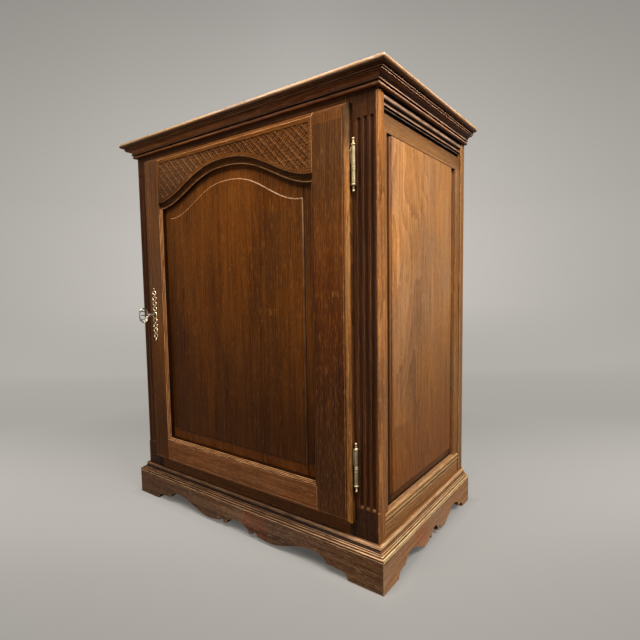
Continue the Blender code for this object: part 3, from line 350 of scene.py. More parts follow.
def oldMetal(name):
    look = metalLooks[name]
    material, tree, shader = startMaterial(name)
    coords = node(tree, "TexCoord").outputs["Object"]
    cloud = speckle(tree, coords, (90, 90, 90), 4.0, 0.6).outputs["Fac"]
    pits = speckle(tree, coords, (700, 700, 700), 3.0, 0.6).outputs["Fac"]
    colour = blended(tree, "MIX", spread(tree, cloud, 0.40, 0.62), look["bright"], look["dull"])
    colour = blended(tree, "MIX", spread(tree, pits, 0.58, 0.74, 0.0, 0.8), colour, look["grime"])
    # darker in hollows and where rods meet, partly grime and partly painted shade
    dirtAndShadeMask = spread(tree, nearness(tree, 0.004), 0.80, 0.35, 0.0, 0.9)
    colour = blended(tree, "MULTIPLY", dirtAndShadeMask, colour, (0.16, 0.13, 0.10))
    bump = node(tree, "Bump", {"Strength": 0.25, "Distance": 0.0003, "Height": pits})
    tree.links.new(colour, shader.inputs["Base Color"])
    rough = spread(tree, cloud, 0.3, 0.7, look["rough"], look["rough"] + 0.16)
    tree.links.new(rough, shader.inputs["Roughness"])
    tree.links.new(bump.outputs["Normal"], shader.inputs["Normal"])
    shader.inputs["Metallic"].default_value = 1.0
    return material


agedBrass, rubbedBrass, keyMetal, lockSteel = [oldMetal(name) for name in metalLooks]
print("materials ready")


# finishes of the CAD nodes: tone, grain and edge rounding by name
acrossGrain = ("top_board", "cornice_front", "front_top", "front_bottom", "shelf_lower", "shelf_upper",
               "bottom_board", "plinth_front", "plinth_moulding_front", "back_top_rail", "back_bottom_rail",
               "door_top_rail", "door_bottom_rail", "door_moulding_top", "door_moulding_bottom")
deepGrain = ("cornice_", "plinth_", "shelf_cleat", "side_top_rail", "side_bottom_rail")


def grainOf(name):
    if name.startswith(acrossGrain):
        return "x"
    return "y" if name.startswith(deepGrain) else "z"


def toneOf(name):
    if name.startswith(("shelf_", "bottom_board", "back_")):
        return "inner"
    if name == "top_board":
        return "worn"
    if name.startswith(("side_", "rear_post")):
        return "side"
    if name.startswith("plinth_"):
        return "scuffed" if name == "plinth_front" else "bleached"
    if name.startswith("front_"):
        return "post"
    return "front"


edgeWidths = {"top_board": 0.0016, "plinth_": 0.0011, "front_post": 0.0009, "side_": 0.0009,
              "door_stile": 0.0012, "door_bottom_rail": 0.0012, "door_panel": 0.0011, "shelf_": 0.0015,
              "door_moulding": 0.0004}
metalNodes = {"hinge_pin": "steel", "lock_case": "steel", "lock_bolt": "steel", "strike_plate": "brass"}


def softenEdges(item, width, steps=2, slot=1):
    weld = item.modifiers.new("weld", "WELD")
    weld.merge_threshold = 0.00001
    flat = item.modifiers.new("flat faces", "DECIMATE")
    flat.decimate_type = "DISSOLVE"
    flat.angle_limit = radians(0.4)
    bevel = item.modifiers.new("soft edges", "BEVEL")
    bevel.width = width
    bevel.segments = steps
    bevel.limit_method = "ANGLE"
    bevel.angle_limit = radians(32)
    bevel.material = slot
    shade = item.modifiers.new("shading", "WEIGHTED_NORMAL")
    shade.weight = 60


def fieldOf(name, axis, face):
    # the flat raised field of a panel, as its lowest and highest corner
    flat = [vert.co for vert in parts[name].data.vertices if abs(vert.co[axis] - face) < 0.0002]
    return Vector(map(min, zip(*flat))), Vector(map(max, zip(*flat)))


# the first is a dark tint for quirks, backs and undersides, partly grime and partly painted shade
grimeAndShadeTint, faint = (0.22, 0.17, 0.14), (0.55, 0.48, 0.42)


def stain(name, axis, untinted, full, most, tint, *within, edges=False, patchy=()):
    # a tint that grows from untinted to full along an axis, for real stains and marks and for painted light
    # and shade; edges may be False, True or "only"
    return {"name": name, "axis": axis, "untinted": untinted, "full": full, "most": most, "tint": tint,
            "within": within, "onEdges": edges, "patchy": patchy}


def band(name, most, tint, *within, edges=False, patchy=()):
    return stain(name, "z", -1.0, 0.0, most, tint, *within, edges=edges, patchy=patchy)


def nick(name, across, heights):
    # a small rubbed mark on the door's face
    return band(name, 0.8, (1.6, 2.0, 2.7), ("x", *across), ("z", *heights), patchy=(0.44, 0.60))


# heights and places for the marks below, both wear and painted light
wearAndLightMarks = {"fluteFoot": 0.1494, "fluteGlint": 0.0066, "postSide": 0.3819, "doorRound": 0.0100,
        "friezeLine": 0.9135}
far = 1.0  # past every piece


def postStains(name, low, high):
    side = 1 if high.x > 0 else -1
    foot = wearAndLightMarks["fluteFoot"]
    across = ("x", low.x + 0.0035, high.x - 0.0035)
    glintHeights = ("z", foot, foot + wearAndLightMarks["fluteGlint"])
    litFrom = side * wearAndLightMarks["postSide"]
    return [
        stain(name[11:] + "_flutes", "y", low.y + 0.0003, low.y + 0.0026, 0.75, (0.30, 0.22, 0.20), across),
        band("ridges", 0.55, (0.45, 0.40, 0.38), across, ("y", low.y - 0.001, low.y + 0.0002)),
        # painted highlight: the lower ends of the right post's flutes, where they catch the light
        stain("flute_feet", "y", low.y + 0.0018, low.y + 0.0024, 1.0, (8.0, 12.5, 21.0), across, glintHeights,
              ("x", 0.0, far)),
        # painted light: the post lighter towards its foot
        stain("low_wear", "z", 0.50, 0.20, 0.8, (1.45, 1.42, 1.5), across, ("z", foot, far)),
        band("foot_block", 1.0, (0.72, 0.84, 1.35), across, ("z", 0.0, foot)),
        # painted light on the post's outer face and corner flute, which face the lamp
        stain("sunned", "x", litFrom, litFrom + side * 0.0007, 1.0, (3.6, 4.1, 4.3), edges=True),
    ]


def hingeStileStains(low, high):
    step = high.x - wearAndLightMarks["doorRound"]
    edgeBand = ("x", step + 0.0016, high.x + 0.001)
    edgeEnd = ("x", high.x - 0.0010, high.x + 0.001)
    face = ("x", low.x - 0.001, step)
    return [
        # dirt and painted shade in the quirk beside the step
        stain("quirk", "y", low.y + 0.0004, low.y + 0.0016, 0.5, grimeAndShadeTint, ("x", step - 0.0006, step + 0.0016)),
        # the arris at the step lightened, partly wear and partly a painted highlight
        band("face_arris", 1.0, (1.9, 2.1, 2.6), ("x", step - 0.0014, step + 0.0004), edges=True),
        # painted light on the rounded edge band, which faces the lamp
        stain("rubbed", "y", low.y + 0.0020, low.y + 0.0028, 1.0, (1.8, 2.2, 2.9), edgeBand),
        # painted shadow on the top of the rounded edge band
        stain("sooty", "z", 0.850, 0.880, 0.85, (0.30, 0.34, 0.44), edgeBand),
        # painted shade on the back of the door's edge
        stain("edge_back", "y", low.y + 0.0095, low.y + 0.0125, 0.85, grimeAndShadeTint, edgeEnd),
        stain("smoked", "z", 0.690, 0.790, 0.65, (0.48, 0.54, 0.80), face, ("z", 0.0, wearAndLightMarks["friezeLine"])),
        # painted shade: the stile darker and more amber towards the bottom
        stain("amber", "z", 0.84, 0.62, 1.0, (0.74, 0.58, 0.44), face),
        stain("flecked", "z", 0.90, 0.70, 0.8, (1.55, 1.65, 1.5), face, patchy=(0.48, 0.66)),
        nick("stile_nick", (0.2906, 0.3168), (0.576, 0.588)),
        nick("high_nick", (0.2660, 0.2790), (0.856, 0.864)),
        stain("foot", "z", 0.50, 0.26, 0.90, (0.80, 1.12, 2.3), face),
    ] + doorFoot(low, step)


def doorFoot(low, right=far):
    # painted light on the rounded lower edge of the door, which faces down, and the arris above it, lightened
    # partly for wear and partly as a painted highlight
    face = low.z + wearAndLightMarks["doorRound"]
    reach = ("x", -far, right)
    rounded = ("z", low.z - 0.001, face - 0.0008), ("y", low.y - 0.001, low.y + 0.016)
    return [band("lower_edge", 1.0, (2.4, 2.3, 2.0), *rounded, reach, edges=True),
            band("lower_arris", 1.0, (2.6, 2.8, 3.4), ("z", face - 0.0014, face + 0.0012), reach, edges=True)]


def sidePanelStains(name, low, high):
    fieldLow, fieldHigh = fieldOf(name, 0, high.x if high.x > 0 else low.x)
    start, foot = low.y + 0.008, low.z + 0.008
    field = ("y", fieldLow.y, far), ("z", 0.30, far)
    return [
        stain(name[11:] + "_front_bevel", "y", fieldLow.y + 0.0003, fieldLow.y - 0.0003, 0.8,
              (0.62, 0.50, 0.42)),
        band("front_line", 0.95, (0.34, 0.24, 0.14), ("y", fieldLow.y - 0.0034, fieldLow.y + 0.0004)),
        stain("stile_shade", "y", start + 0.0195, start + 0.0165, 1.0, (0.20, 0.12, 0.06)),
        stain("field_front", "y", fieldLow.y + 0.090, fieldLow.y + 0.020, 1.0, (1.30, 1.30, 1.30), *field),
        # painted light: the side lighter towards the top
        stain("sunned", "z", 0.36, 0.56, 1.0, (1.22, 1.20, 1.22), edges=True),
        stain("back_bevel", "y", fieldHigh.y - 0.0003, fieldHigh.y + 0.0003, 0.7, (0.50, 0.41, 0.36)),
        # painted shadow of the cornice on the top bevel
        stain("top_bevel", "z", fieldHigh.z - 0.0003, fieldHigh.z + 0.0003, 0.7, faint),
        stain("low_bevel", "z", fieldLow.z + 0.0003, fieldLow.z - 0.0003, 0.85, (0.42, 0.42, 0.38)),
        stain("bead_shade", "z", foot + 0.0110, foot + 0.0050, 0.9, (0.16, 0.12, 0.10)),
        # painted shade: the side darker and deeper in colour towards the foot
        stain("foot", "z", 0.56, 0.20, 0.95, (0.62, 0.42, 0.17), edges=True),
    ]


def doorPanelStains(low):
    fieldLow, fieldHigh = fieldOf("door_panel", 1, low.y)
    right = fieldHigh.x
    field = ("z", fieldLow.z, far)
    return [
        # dirt and painted shade in the quirk at the field's right edge
        stain("right_quirk", "x", right + 0.0002, right + 0.0007, 0.8, grimeAndShadeTint, ("x", right, right + 0.0036)),
        stain("right_bevel", "x", right, right + 0.0010, 0.25, faint),
        # painted light on the lower bevel
        stain("low_bevel", "z", fieldLow.z, fieldLow.z - 0.0010, 1.0, (1.05, 1.00, 1.10)),
        # painted highlight along the field's arris, stronger to the right
        stain("field_line", "x", -0.10, 0.12, 1.0, (0.95, 1.15, 1.6), edges="only"),
        # the painted highlight fades out towards the bottom
        stain("field_line_low", "z", 0.74, 0.58, 1.0, (0.40, 0.34, 0.26), edges="only"),
        band("ambered", 1.0, (0.96, 0.86, 0.60)),
        nick("panel_nick", (0.1005, 0.1370), (0.535, 0.549)),
        stain("left_shade", "x", fieldLow.x + 0.10, fieldLow.x, 0.25, (0.62, 0.68, 0.85), edges=True),
        # painted shade: the field darker towards the foot
        stain("foot", "z", 0.72, 0.24, 0.55, (0.58, 0.52, 0.46), field, edges=True),
        # more painted shade: the lower field darker and a little greyer
        stain("worn_low", "z", 0.50, 0.30, 0.6, (0.52, 0.52, 0.55), field, edges=True),
    ]


def sideRailStains(high):
    beads = high.z - 0.018
    quirk = ("z", beads - 0.0050, beads + 0.001)
    return [stain("plain_face", "z", beads - 0.0020, beads - 0.0040, 1.0, (1.25, 1.18, 1.05)),
            # dirt and painted shade in the quirk by the beads
            stain("bead_quirk", "z", beads + 0.0006, beads - 0.0004, 0.85, grimeAndShadeTint, quirk),
            # painted highlight on the bead crowns
            stain("bead_crowns", "z", beads, beads + 0.0010, 1.0, (1.25, 1.34, 1.5))]


def topBoardStains(low, high):
    front = ("y", -far, low.y + 0.03)
    return [band("dusted", 1.0, (0.92, 0.86, 0.82), edges=True),
            stain("upper_face", "z", high.z - 0.0012, high.z - 0.0003, 1.0, (0.52, 0.44, 0.37)),
            # painted shade on the lower half of the nosing, which turns down
            stain("nosing_foot", "z", high.z - 0.0055, high.z - 0.0080, 1.0, (0.40, 0.31, 0.24), edges=True),
            # painted shade: the front nosing darker and greyer towards its left end
            stain("far_corner", "x", 0.10, -0.36, 0.6, (0.42, 0.46, 0.55), front, edges=True)]


def plinthStains(name, low):
    # red patches on the front and the right apron, and the front's darker left end
    rubbed = (0.36, 0.56)
    if name == "plinth_front":
        return [stain("shaded_end", "x", 0.06, -0.34, 0.9, (0.58, 0.50, 0.38)),
                band("red_patch", 0.8, (1.25, 0.72, 0.56), ("x", 0.02, 0.10), patchy=rubbed)]
    patch = ("y", low.y + 0.1, low.y + 0.205), ("z", 0.022, 0.2)
    return [stain("red_patch", "y", low.y + 0.135, low.y + 0.150, 0.75, (1.05, 0.62, 0.48), *patch,
                  patchy=rubbed)]


def stainsOf(name):
    low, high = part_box(name)
    if name.startswith("front_post"):
        return postStains(name, low, high)
    if name == "door_stile_hinge":
        return hingeStileStains(low, high)
    if name == "door_stile_lock":
        # painted sheen: the lock stile greyer towards the top
        return [stain("greyed", "z", 0.42, 0.58, 0.9, (1.04, 1.25, 2.2)),
                # painted shade: the lock stile darker towards the foot
                stain("foot", "z", 0.50, 0.20, 0.9, (0.60, 0.52, 0.40))] + doorFoot(low)
    if name == "door_bottom_rail":
        # painted light: the bottom rail lighter and greyer
        return [band("greyed", 1.0, (1.70, 1.80, 2.6))] + doorFoot(low)
    if name == "door_panel":
        return doorPanelStains(low)
    if name.startswith("side_panel"):
        return sidePanelStains(name, low, high)
    if name.startswith("side_bottom_rail"):
        return sideRailStains(high)
    if name.startswith("side_front_stile"):
        # painted light: the front stile lighter towards the top
        return [stain("sunned", "z", 0.40, 0.80, 1.0, (1.05, 1.08, 1.10)),
                band("toned", 1.0, (0.80, 0.74, 0.66))]
    if name.startswith(("side_rear_stile", "rear_post")):
        return [band("dulled", 0.6, (0.72, 0.66, 0.60))]
    if name in ("plinth_front", "plinth_right"):
        return plinthStains(name, low)
    if name == "front_bottom_rail":
        # painted light on the rail below the door, which lies in its shadow
        return [band("scuffed_rail", 1.0, (2.0, 2.0, 1.9))]
    if name == "top_board":
        return topBoardStains(low, high)
    return []


def finishNode(name, seed):
    item = parts[name]
    metal = [kind for start, kind in metalNodes.items() if name.startswith(start)]
    if metal:
        looks = [agedBrass if metal[0] == "brass" else lockSteel] * 2
    else:
        stainsAndPaintedLight = stainsOf(name)
        looks = [oak(toneOf(name), grainOf(name), seed, stainsAndPaintedLight=[s for s in stainsAndPaintedLight if s["onEdges"] != "only"]),
                 oak(toneOf(name), grainOf(name), seed, edge=not name.startswith("side_panel"),
                     stainsAndPaintedLight=[s for s in stainsAndPaintedLight if s["onEdges"]])]
    item.data.materials.clear()
    for look in looks:
        item.data.materials.append(look)
    width = next((w for start, w in edgeWidths.items() if name.startswith(start)), 0.0006)
    softenEdges(item, width)


for index, name in enumerate(sorted(parts)):
    finishNode(name, index % 5)
print("CAD nodes finished")


# carved lattice on the door's top rail
lattice = {
    "left": -0.2540, "right": 0.2405, "top": 0.9235, "archBorder": 0.0085, "sunk": 0.0008, "bed": 0.0060,
    "spacing": 0.024, "main": (0.0032, 0.0016), "fine": (0.0026, 0.0011), "ridge": (0.0015, 0.00045),
    "archRise": 0.072, "archFullness": 1.2, "shoulder": 0.0037, "columns": 72, "middle": 0.870,
    "overrun": 0.12, "lines": 40,
}
railLow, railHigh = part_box("door_top_rail")
railFace = railLow.y
archMiddle = (railLow.x + railHigh.x) / 2
archReach = (railHigh.x - railLow.x) / 2 - lattice["shoulder"]


def archHeight(across):
    share = min(1.0, abs(across - archMiddle) / archReach)
    return railLow.z + lattice["archRise"] * (1 + cos(pi * share ** lattice["archFullness"])) / 2


def latticeGround(name, front, back):
    # the carved area as a solid, its lower edge drawn along the arch
    bpy.ops.mesh.primitive_grid_add(x_subdivisions=lattice["columns"], y_subdivisions=1, size=1)
    item = named(bpy.context.object, name)
    item.rotation_euler = (pi / 2, 0, 0)
    item.scale = (lattice["right"] - lattice["left"], 0.1, 1)
    item.location = ((lattice["left"] + lattice["right"]) / 2, front, lattice["top"] - 0.05)
    applyPlace(item)
    for vert in item.data.vertices:
        if vert.co.z < lattice["top"] - 0.05:
            vert.co.z = archHeight(vert.co.x) + lattice["archBorder"]
    editing(item, "FACE")
    bpy.ops.mesh.extrude_region_move(TRANSFORM_OT_translate={"value": (0, back - front, 0)})
    bpy.ops.mesh.select_all(action="SELECT")
    bpy.ops.mesh.normals_make_consistent(inside=False)
    return doneEditing()


def grooveRun(width, depth, start, slope):
    # three-sided bars, point into the wood, repeated across the rail
    ground = railFace + lattice["sunk"]
    bpy.ops.mesh.primitive_cylinder_add(vertices=3, radius=0.01, depth=0.30)
    item = bpy.context.object
    item.scale = (2 * width / (0.01 * 3 ** 0.5), 2 * depth / 0.015, 1)
    applyPlace(item)
    item.rotation_euler = (0, slope * pi / 4, 0)
    item.location = (start, ground + depth - 2 * depth * 2 / 3, lattice["middle"])
    applyPlace(item)
    count = int((lattice["right"] - lattice["left"] + 2 * lattice["overrun"]) / lattice["spacing"])
    applyModifier(item, "ARRAY", count=count, use_relative_offset=False, use_constant_offset=True,
                  constant_offset_displace=(lattice["spacing"], 0, 0))
    return item


def cutWith(item, cutter, way="DIFFERENCE"):
    applyModifier(item, "BOOLEAN", operation=way, object=cutter, solver="EXACT")
    bpy.data.objects.remove(cutter)
    return item


def mergedCopy(node, name):
    # a copy of a CAD node's mesh, its loose triangles merged
    item = bpy.data.objects.new(name, parts[node].data.copy())
    bpy.context.scene.collection.objects.link(item)
    editing(item)
    bpy.ops.mesh.remove_doubles(threshold=0.00001)
    bpy.ops.mesh.dissolve_limited(angle_limit=radians(0.4))
    return doneEditing()


def carvedRail():
    rail = mergedCopy("door_top_rail", "door_top_rail_carved")
    rail.data.materials.clear()
    for edge in (False, True):
        rail.data.materials.append(oak("front", "x", 3, edge=edge))
    editing(rail)
    bpy.ops.mesh.normals_make_consistent(inside=False)
    doneEditing()
    applyModifier(rail, "BEVEL", width=0.0012, segments=2, limit_method="ANGLE", angle_limit=radians(32),
                  material=1)
    bed = railFace + lattice["bed"]
    cutWith(rail, latticeGround("ground", railFace - 0.002, bed))
    carving = latticeGround("carving", railFace + lattice["sunk"], bed)
    third = lattice["spacing"] / 3
    begin = lattice["left"] - lattice["overrun"]
    cutWith(carving, grooveRun(*lattice["main"], begin, 1))
    for slope in (1, -1):
        for step in (1, 2):
            cutWith(carving, grooveRun(*lattice["fine"], begin + step * third, slope))
    carving.data.materials.clear()
    return rail, carving, latticeRidges(begin)


def latticeRidges(begin):
    # thin lines left standing between the grooves, each from border to border
    wide, tall = lattice["ridge"]
    ground = railFace + lattice["sunk"]
    foot = 0.0004
    ridges = []
    for line in range(lattice["lines"]):
        # where this line crosses the middle height of the carving
        cross = begin + line * lattice["spacing"]
        reach = [step / 2000 for step in range(-240, 241)]
        inside = [t for t in reach if lattice["left"] - 0.002 < cross + t < lattice["right"] + 0.002
                  and archHeight(cross + t) + 0.0055 < lattice["middle"] - t < lattice["top"] + 0.002]
        if len(inside) < 8:
            continue
        first, last = inside[0], inside[-1]
        bpy.ops.mesh.primitive_cylinder_add(vertices=3, radius=0.01, depth=1.0)
        item = bpy.context.object
        item.scale = (wide / (0.01 * 3 ** 0.5), -(tall + foot) / 0.015, (last - first) * 2 ** 0.5)
        applyPlace(item)
        item.rotation_euler = (0, -pi / 4, 0)
        middle = (first + last) / 2
        item.location = (cross + middle, ground + foot - (tall + foot) / 3, lattice["middle"] - middle)
        applyPlace(item)
        ridges.append(item)
    made = joined("lattice_ridges", *ridges)
    editing(made)
    bpy.ops.mesh.normals_make_consistent(inside=False)
    return doneEditing()


latticeRail, carving, ridges = carvedRail()
ground = railFace + lattice["sunk"]
latticeDirtAndSheen = [stain("lattice", "y", ground + 0.0001, ground + 0.0009, 0.70, (0.26, 0.21, 0.18)),
               # painted sheen: the carving's left half lighter and greyer
               stain("greyed_left", "x", 0.08, -0.15, 0.9, (1.22, 1.50, 2.4))]
carving.data.materials.append(oak("front", "x", 3, stainsAndPaintedLight=latticeDirtAndSheen))
# painted highlight: the ridges lighter and greyer where they catch the light
ridges.data.materials.append(oak("front", "x", 3, stainsAndPaintedLight=[band("ridges", 1.0, (1.35, 1.6, 2.1))]))
latticeRail = joined("door_top_rail_carved", latticeRail, carving, ridges)
smooth(latticeRail, 25)
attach(latticeRail, "door")
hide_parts("door_top_rail")
print("lattice carved,", len(latticeRail.data.polygons), "faces")


# cornice and plinth strips with their fine members, (out, up) in millimetres from the body
strip = {"gap": 0.0003, "mitre": 0.00015, "edge": 0.0003}
# each with 0 where it stays plain, 1 where it is rubbed and painted as lit, 2 where dirt and painted shade
# sit
corniceProfile = [(0.3, 0.0, 2), (5.5, 0.0, 0), (7.0, 0.45, 0), (8.2, 1.6, 0), (8.6, 3.3, 1), (8.2, 5.0, 1),
                  (7.0, 6.2, 1), (5.6, 6.6, 2), (5.2, 6.7, 2), (5.2, 8.3, 2), (10.2, 8.3, 1), (10.5, 9.6, 1),
                  (10.2, 10.9, 1), (9.1, 11.2, 0)]
for step in range(1, 11):
    angle = pi / 2 * step / 10
    corniceProfile.append((20.6 - 11.5 * cos(angle), 11.2 + 7.8 * sin(angle), 2 if step > 8 else 0))
corniceProfile += [(21.9, 19.0, 1), (21.9, 20.4, 1), (21.4, 20.6, 2), (20.6, 20.7, 2), (20.6, 21.5, 2),
                   (22.9, 21.7, 0), (23.9, 22.3, 1), (24.3, 23.2, 1), (23.9, 24.1, 1), (22.9, 24.7, 2),
                   (21.6, 24.9, 2), (21.6, 25.6, 2), (24.5, 25.8, 0), (24.5, 27.0, 0), (0.3, 27.0, 0)]
plinthProfile = [(0.3, 0.0, 0), (18.9, 0.0, 0), (19.6, 0.7, 0), (19.6, 2.3, 1), (19.6, 3.9, 1),
                 (19.2, 4.7, 1), (18.4, 5.1, 1), (16.4, 5.2, 2), (15.2, 4.7, 2), (14.7, 5.3, 2),
                 (15.1, 6.1, 1), (15.1, 7.1, 1), (14.7, 7.8, 1), (13.6, 8.1, 1), (12.4, 8.1, 2),
                 (11.5, 7.6, 2), (11.1, 8.2, 2), (11.6, 8.9, 1), (11.6, 9.7, 1), (11.2, 10.2, 1),
                 (10.5, 10.4, 2)]
for step in range(1, 9):
    angle = -pi / 2 - pi / 2 * step / 8
    plinthProfile.append((10.5 + 4.3 * cos(angle), 15.7 + 5.3 * sin(angle), 2))
plinthProfile += [(7.3, 15.8, 1), (7.3, 16.8, 1), (6.5, 17.0, 1), (6.7, 18.0, 1), (6.6, 19.3, 1),
                  (6.1, 20.6, 1), (5.2, 21.7, 0), (3.9, 22.5, 0), (2.4, 22.8, 2), (0.3, 22.8, 0)]


def wearMembers(item, places, profile):
    # each face takes the finish of the profile's nearest member
    members = zip(profile, profile[1:] + profile[:1])
    middles = [((a[0] + b[0]) / 2, (a[1] + b[1]) / 2, a[2]) for a, b in members]
    for face in item.data.polygons:
        out, up = places(face.center)
        face.material_index = min(middles, key=lambda m: (m[0] - out) ** 2 + (m[1] - up) ** 2)[2]


def profileRun(name, places, run):
    # a profile filled and drawn out along its run
    drawLine(name, places)
    bpy.ops.mesh.edge_face_add()
    bpy.ops.mesh.extrude_region_move(TRANSFORM_OT_translate={"value": run})
    bpy.ops.mesh.select_all(action="SELECT")
    bpy.ops.mesh.normals_make_consistent(inside=False)
    return doneEditing()


def stripStains(tone, side):
    # stains of a strip's plain faces, of its rubbed ones, which are also painted as lit, and of its dirt,
    # which is also painted shade
    soot = band("soot", 0.85, grimeAndShadeTint)
    if tone == "bleached":
        return [], [], band("soot", 0.75, (0.30, 0.20, 0.13))
    if tone == "scuffed":
        # painted shade: the front plinth strip darker towards its left end
        unworn = [stain("unworn", "x", 0.36, 0.16, 0.9, (0.32, 0.27, 0.24))]
        return unworn, unworn, soot
    if side:
        greyed = [band("side_greyed", 1.0, (1.6, 1.85, 2.5))]
        return greyed, greyed, soot
    # painted light: the front cornice's plain faces lighter, as they lie in shade, and its rubbed faces
    # darker
    return [band("front_lift", 1.0, (2.0, 1.95, 1.9))], [band("front_rubbed", 1.0, (0.62, 0.60, 0.62))], soot


def mouldingStrip(node, profile, bodyFront, bodyHalf, tone):
    # its ends are moved onto the mitres
    low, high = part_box(node)
    side = {"front": 0, "left": -1, "right": 1}[node.split("_")[-1]]
    places = []
    for out, up, member in profile:
        if side:
            places.append(Vector((side * (bodyHalf + out / 1000), bodyFront, low.z + up / 1000)))
        else:
            places.append(Vector((-bodyHalf, bodyFront - out / 1000, low.z + up / 1000)))
    run = Vector((0, high.y - bodyFront, 0)) if side else Vector((2 * bodyHalf, 0, 0))
    item = profileRun(node + "_run", places, run)
    for vert in item.data.vertices:
        if side and vert.co.y < (bodyFront + high.y) / 2:
            vert.co.y = bodyFront - (abs(vert.co.x) - bodyHalf) + strip["mitre"]
        elif not side:
            reach = bodyHalf + bodyFront - vert.co.y - strip["mitre"]
            vert.co.x = reach if vert.co.x > 0 else -reach
    grain = "y" if side else "x"
    cast, rubbed, soot = stripStains(tone, side)
    for edge, dirtAndPaintedLight in ((False, cast), (True, rubbed), (False, cast + [soot])):
        item.data.materials.append(oak(tone, grain, 2 + side, edge=edge, stainsAndPaintedLight=dirtAndPaintedLight))

    def outAndUp(at):
        return 1000 * (abs(at.x) - bodyHalf if side else bodyFront - at.y), 1000 * (at.z - low.z)

    wearMembers(item, outAndUp, profile)
    softenEdges(item, strip["edge"], slot=-1)
    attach(item, "carcass")
    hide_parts(node)
    return item


stripLow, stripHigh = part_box("cornice_front")
bodyFront = stripHigh.y + strip["gap"]
bodyHalf = stripHigh.x - (bodyFront - stripLow.y)
for place in ("front", "left", "right"):
    mouldingStrip("cornice_" + place, corniceProfile, bodyFront, bodyHalf, "cornice")
    plinthTone = "scuffed" if place == "front" else "bleached"
    mouldingStrip("plinth_moulding_" + place, plinthProfile, bodyFront, bodyHalf, plinthTone)
print("cornice and plinth strips drawn")


# frieze under the side cornices, (out, up) in millimetres from the stiles' face and the rail's foot;
# 3 is its flat board
frieze = {"swell": 3.5, "housedDown": 0.0253, "housedIn": 0.0120}
friezeProfile = [(-20.0, 8.0, 0), (-11.7, 8.0, 0), (-11.7, 0.3, 0), (-4.4, -25.0, 1), (-3.4, -25.0, 1),
                 (-2.8, -24.2, 3), (-2.8, 8.3, 2), (-9.5, 9.0, 2), (-9.5, 15.6, 2), (-3.6, 16.1, 2),
                 (-2.5, 16.5, 1), (-2.1, 17.6, 1), (-2.5, 18.7, 1), (-3.6, 19.1, 2), (-4.0, 19.3, 2),
                 (-4.0, 20.4, 2), (1.75, 20.5, 1), (1.75, 22.5, 1), (-0.4, 22.9, 0), (-1.0, 24.8, 0),
                 (-1.7, 26.8, 0), (-2.4, 28.5, 2), (-4.0, 28.9, 2), (-4.0, 30.0, 2), (0.0, 30.3, 0)]
for step in range(1, 10):
    angle = -pi / 2 + pi * step / 10
    friezeProfile.append((frieze["swell"] * cos(angle), 35.15 + 4.85 * sin(angle), 1 if 2 < step < 8 else 0))
friezeProfile += [(0.0, 40.0, 2), (0.0, 71.0, 0), (-20.0, 71.0, 0)]


def friezeRun(side):
    node = "side_top_rail_" + side
    low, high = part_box(node)
    sign = 1 if side == "right" else -1
    face = max(high.x, -low.x) - frieze["swell"] / 1000
    places = [Vector((sign * (face + out / 1000), low.y, low.z + up / 1000))
              for out, up, member in friezeProfile]
    item = profileRun(node + "_run", places, Vector((0, high.y - low.y, 0)))
    mauve = band("mauve", 1.0, (1.15, 1.3, 1.75))
    # the frieze's dirt members darkened, partly dirt and partly painted shade
    for edge, dirtAndPaintedLight in ((False, []), (True, []), (False, [band("soot", 0.85, grimeAndShadeTint)])):
        item.data.materials.append(oak("frieze", "y", 1, edge=edge, stainsAndPaintedLight=[mauve] + dirtAndPaintedLight))
    # painted shadow of the cornice and frieze on the top of the flat board
    overhung = stain("overhung", "z", low.z - 0.040, low.z + 0.008, 0.9, (0.44, 0.42, 0.42))
    item.data.materials.append(oak("side", "y", 1, stainsAndPaintedLight=[overhung]))
    wearMembers(item, lambda at: (1000 * (abs(at.x) - face), 1000 * (at.z - low.z)), friezeProfile)
    smooth(item, 30)
    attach(item, "carcass")
    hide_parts(node)
    for place in ("front", "rear"):
        housedStile("side_" + place + "_stile_" + side, sign, face, low.z)


def housedStile(name, sign, face, foot):
    # the stile's face stops under the frieze board
    stile = mergedCopy(name, name + "_housed")
    low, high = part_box(name)
    inner, outer = sorted((sign * (face - frieze["housedIn"]), sign * (face + 0.010)))
    housingLow = (inner, low.y - 0.01, foot - frieze["housedDown"])
    cutWith(stile, boxBetween("housing", housingLow, (outer, high.y + 0.01, foot + 0.02)))
    softenEdges(stile, 0.0009)
    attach(stile, "carcass")
    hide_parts(name)


for side in ("left", "right"):
    friezeRun(side)
print("frieze drawn")

# reeded strips inside the door frame: three round reeds down a slope, then a fillet, in millimetres
reed = {"count": 3, "wide": 2.4, "drop": 2.5, "swell": 1.45, "fillet": 9.0, "sunk": 0.45, "mitre": 0.00015}
# the right strip's rubbed crowns darkened, painted shade; the left's a little warmer
reedCrownTint = {"left": (1.00, 0.90, 0.78), "right": (0.34, 0.27, 0.20)}
# the reeds' crowns are rubbed and painted as lit; their flanks and the fillet take dirt and painted shade
reedProfile = [(0.0, 0.0, 2)]
reedSlope = Vector((reed["wide"], reed["drop"])).normalized()
reedOut = Vector((reedSlope.y, -reedSlope.x))
for index in range(reed["count"]):
    middle = Vector((reed["wide"] * (index + 0.5), reed["drop"] * (index + 0.5) + reed["sunk"]))
    half = Vector((reed["wide"], reed["drop"])).length / 2
    for step in range(10):
        angle = pi * step / 9
        if step or not index:
            place = middle - reedSlope * half * cos(angle) + reedOut * reed["swell"] * sin(angle)
            reedProfile.append((place.x, place.y, {2: 0, 3: 1, 4: 1, 5: 1, 6: 0}.get(step, 2)))
reedProfile.append((reed["fillet"], reedProfile[-1][1], 2))


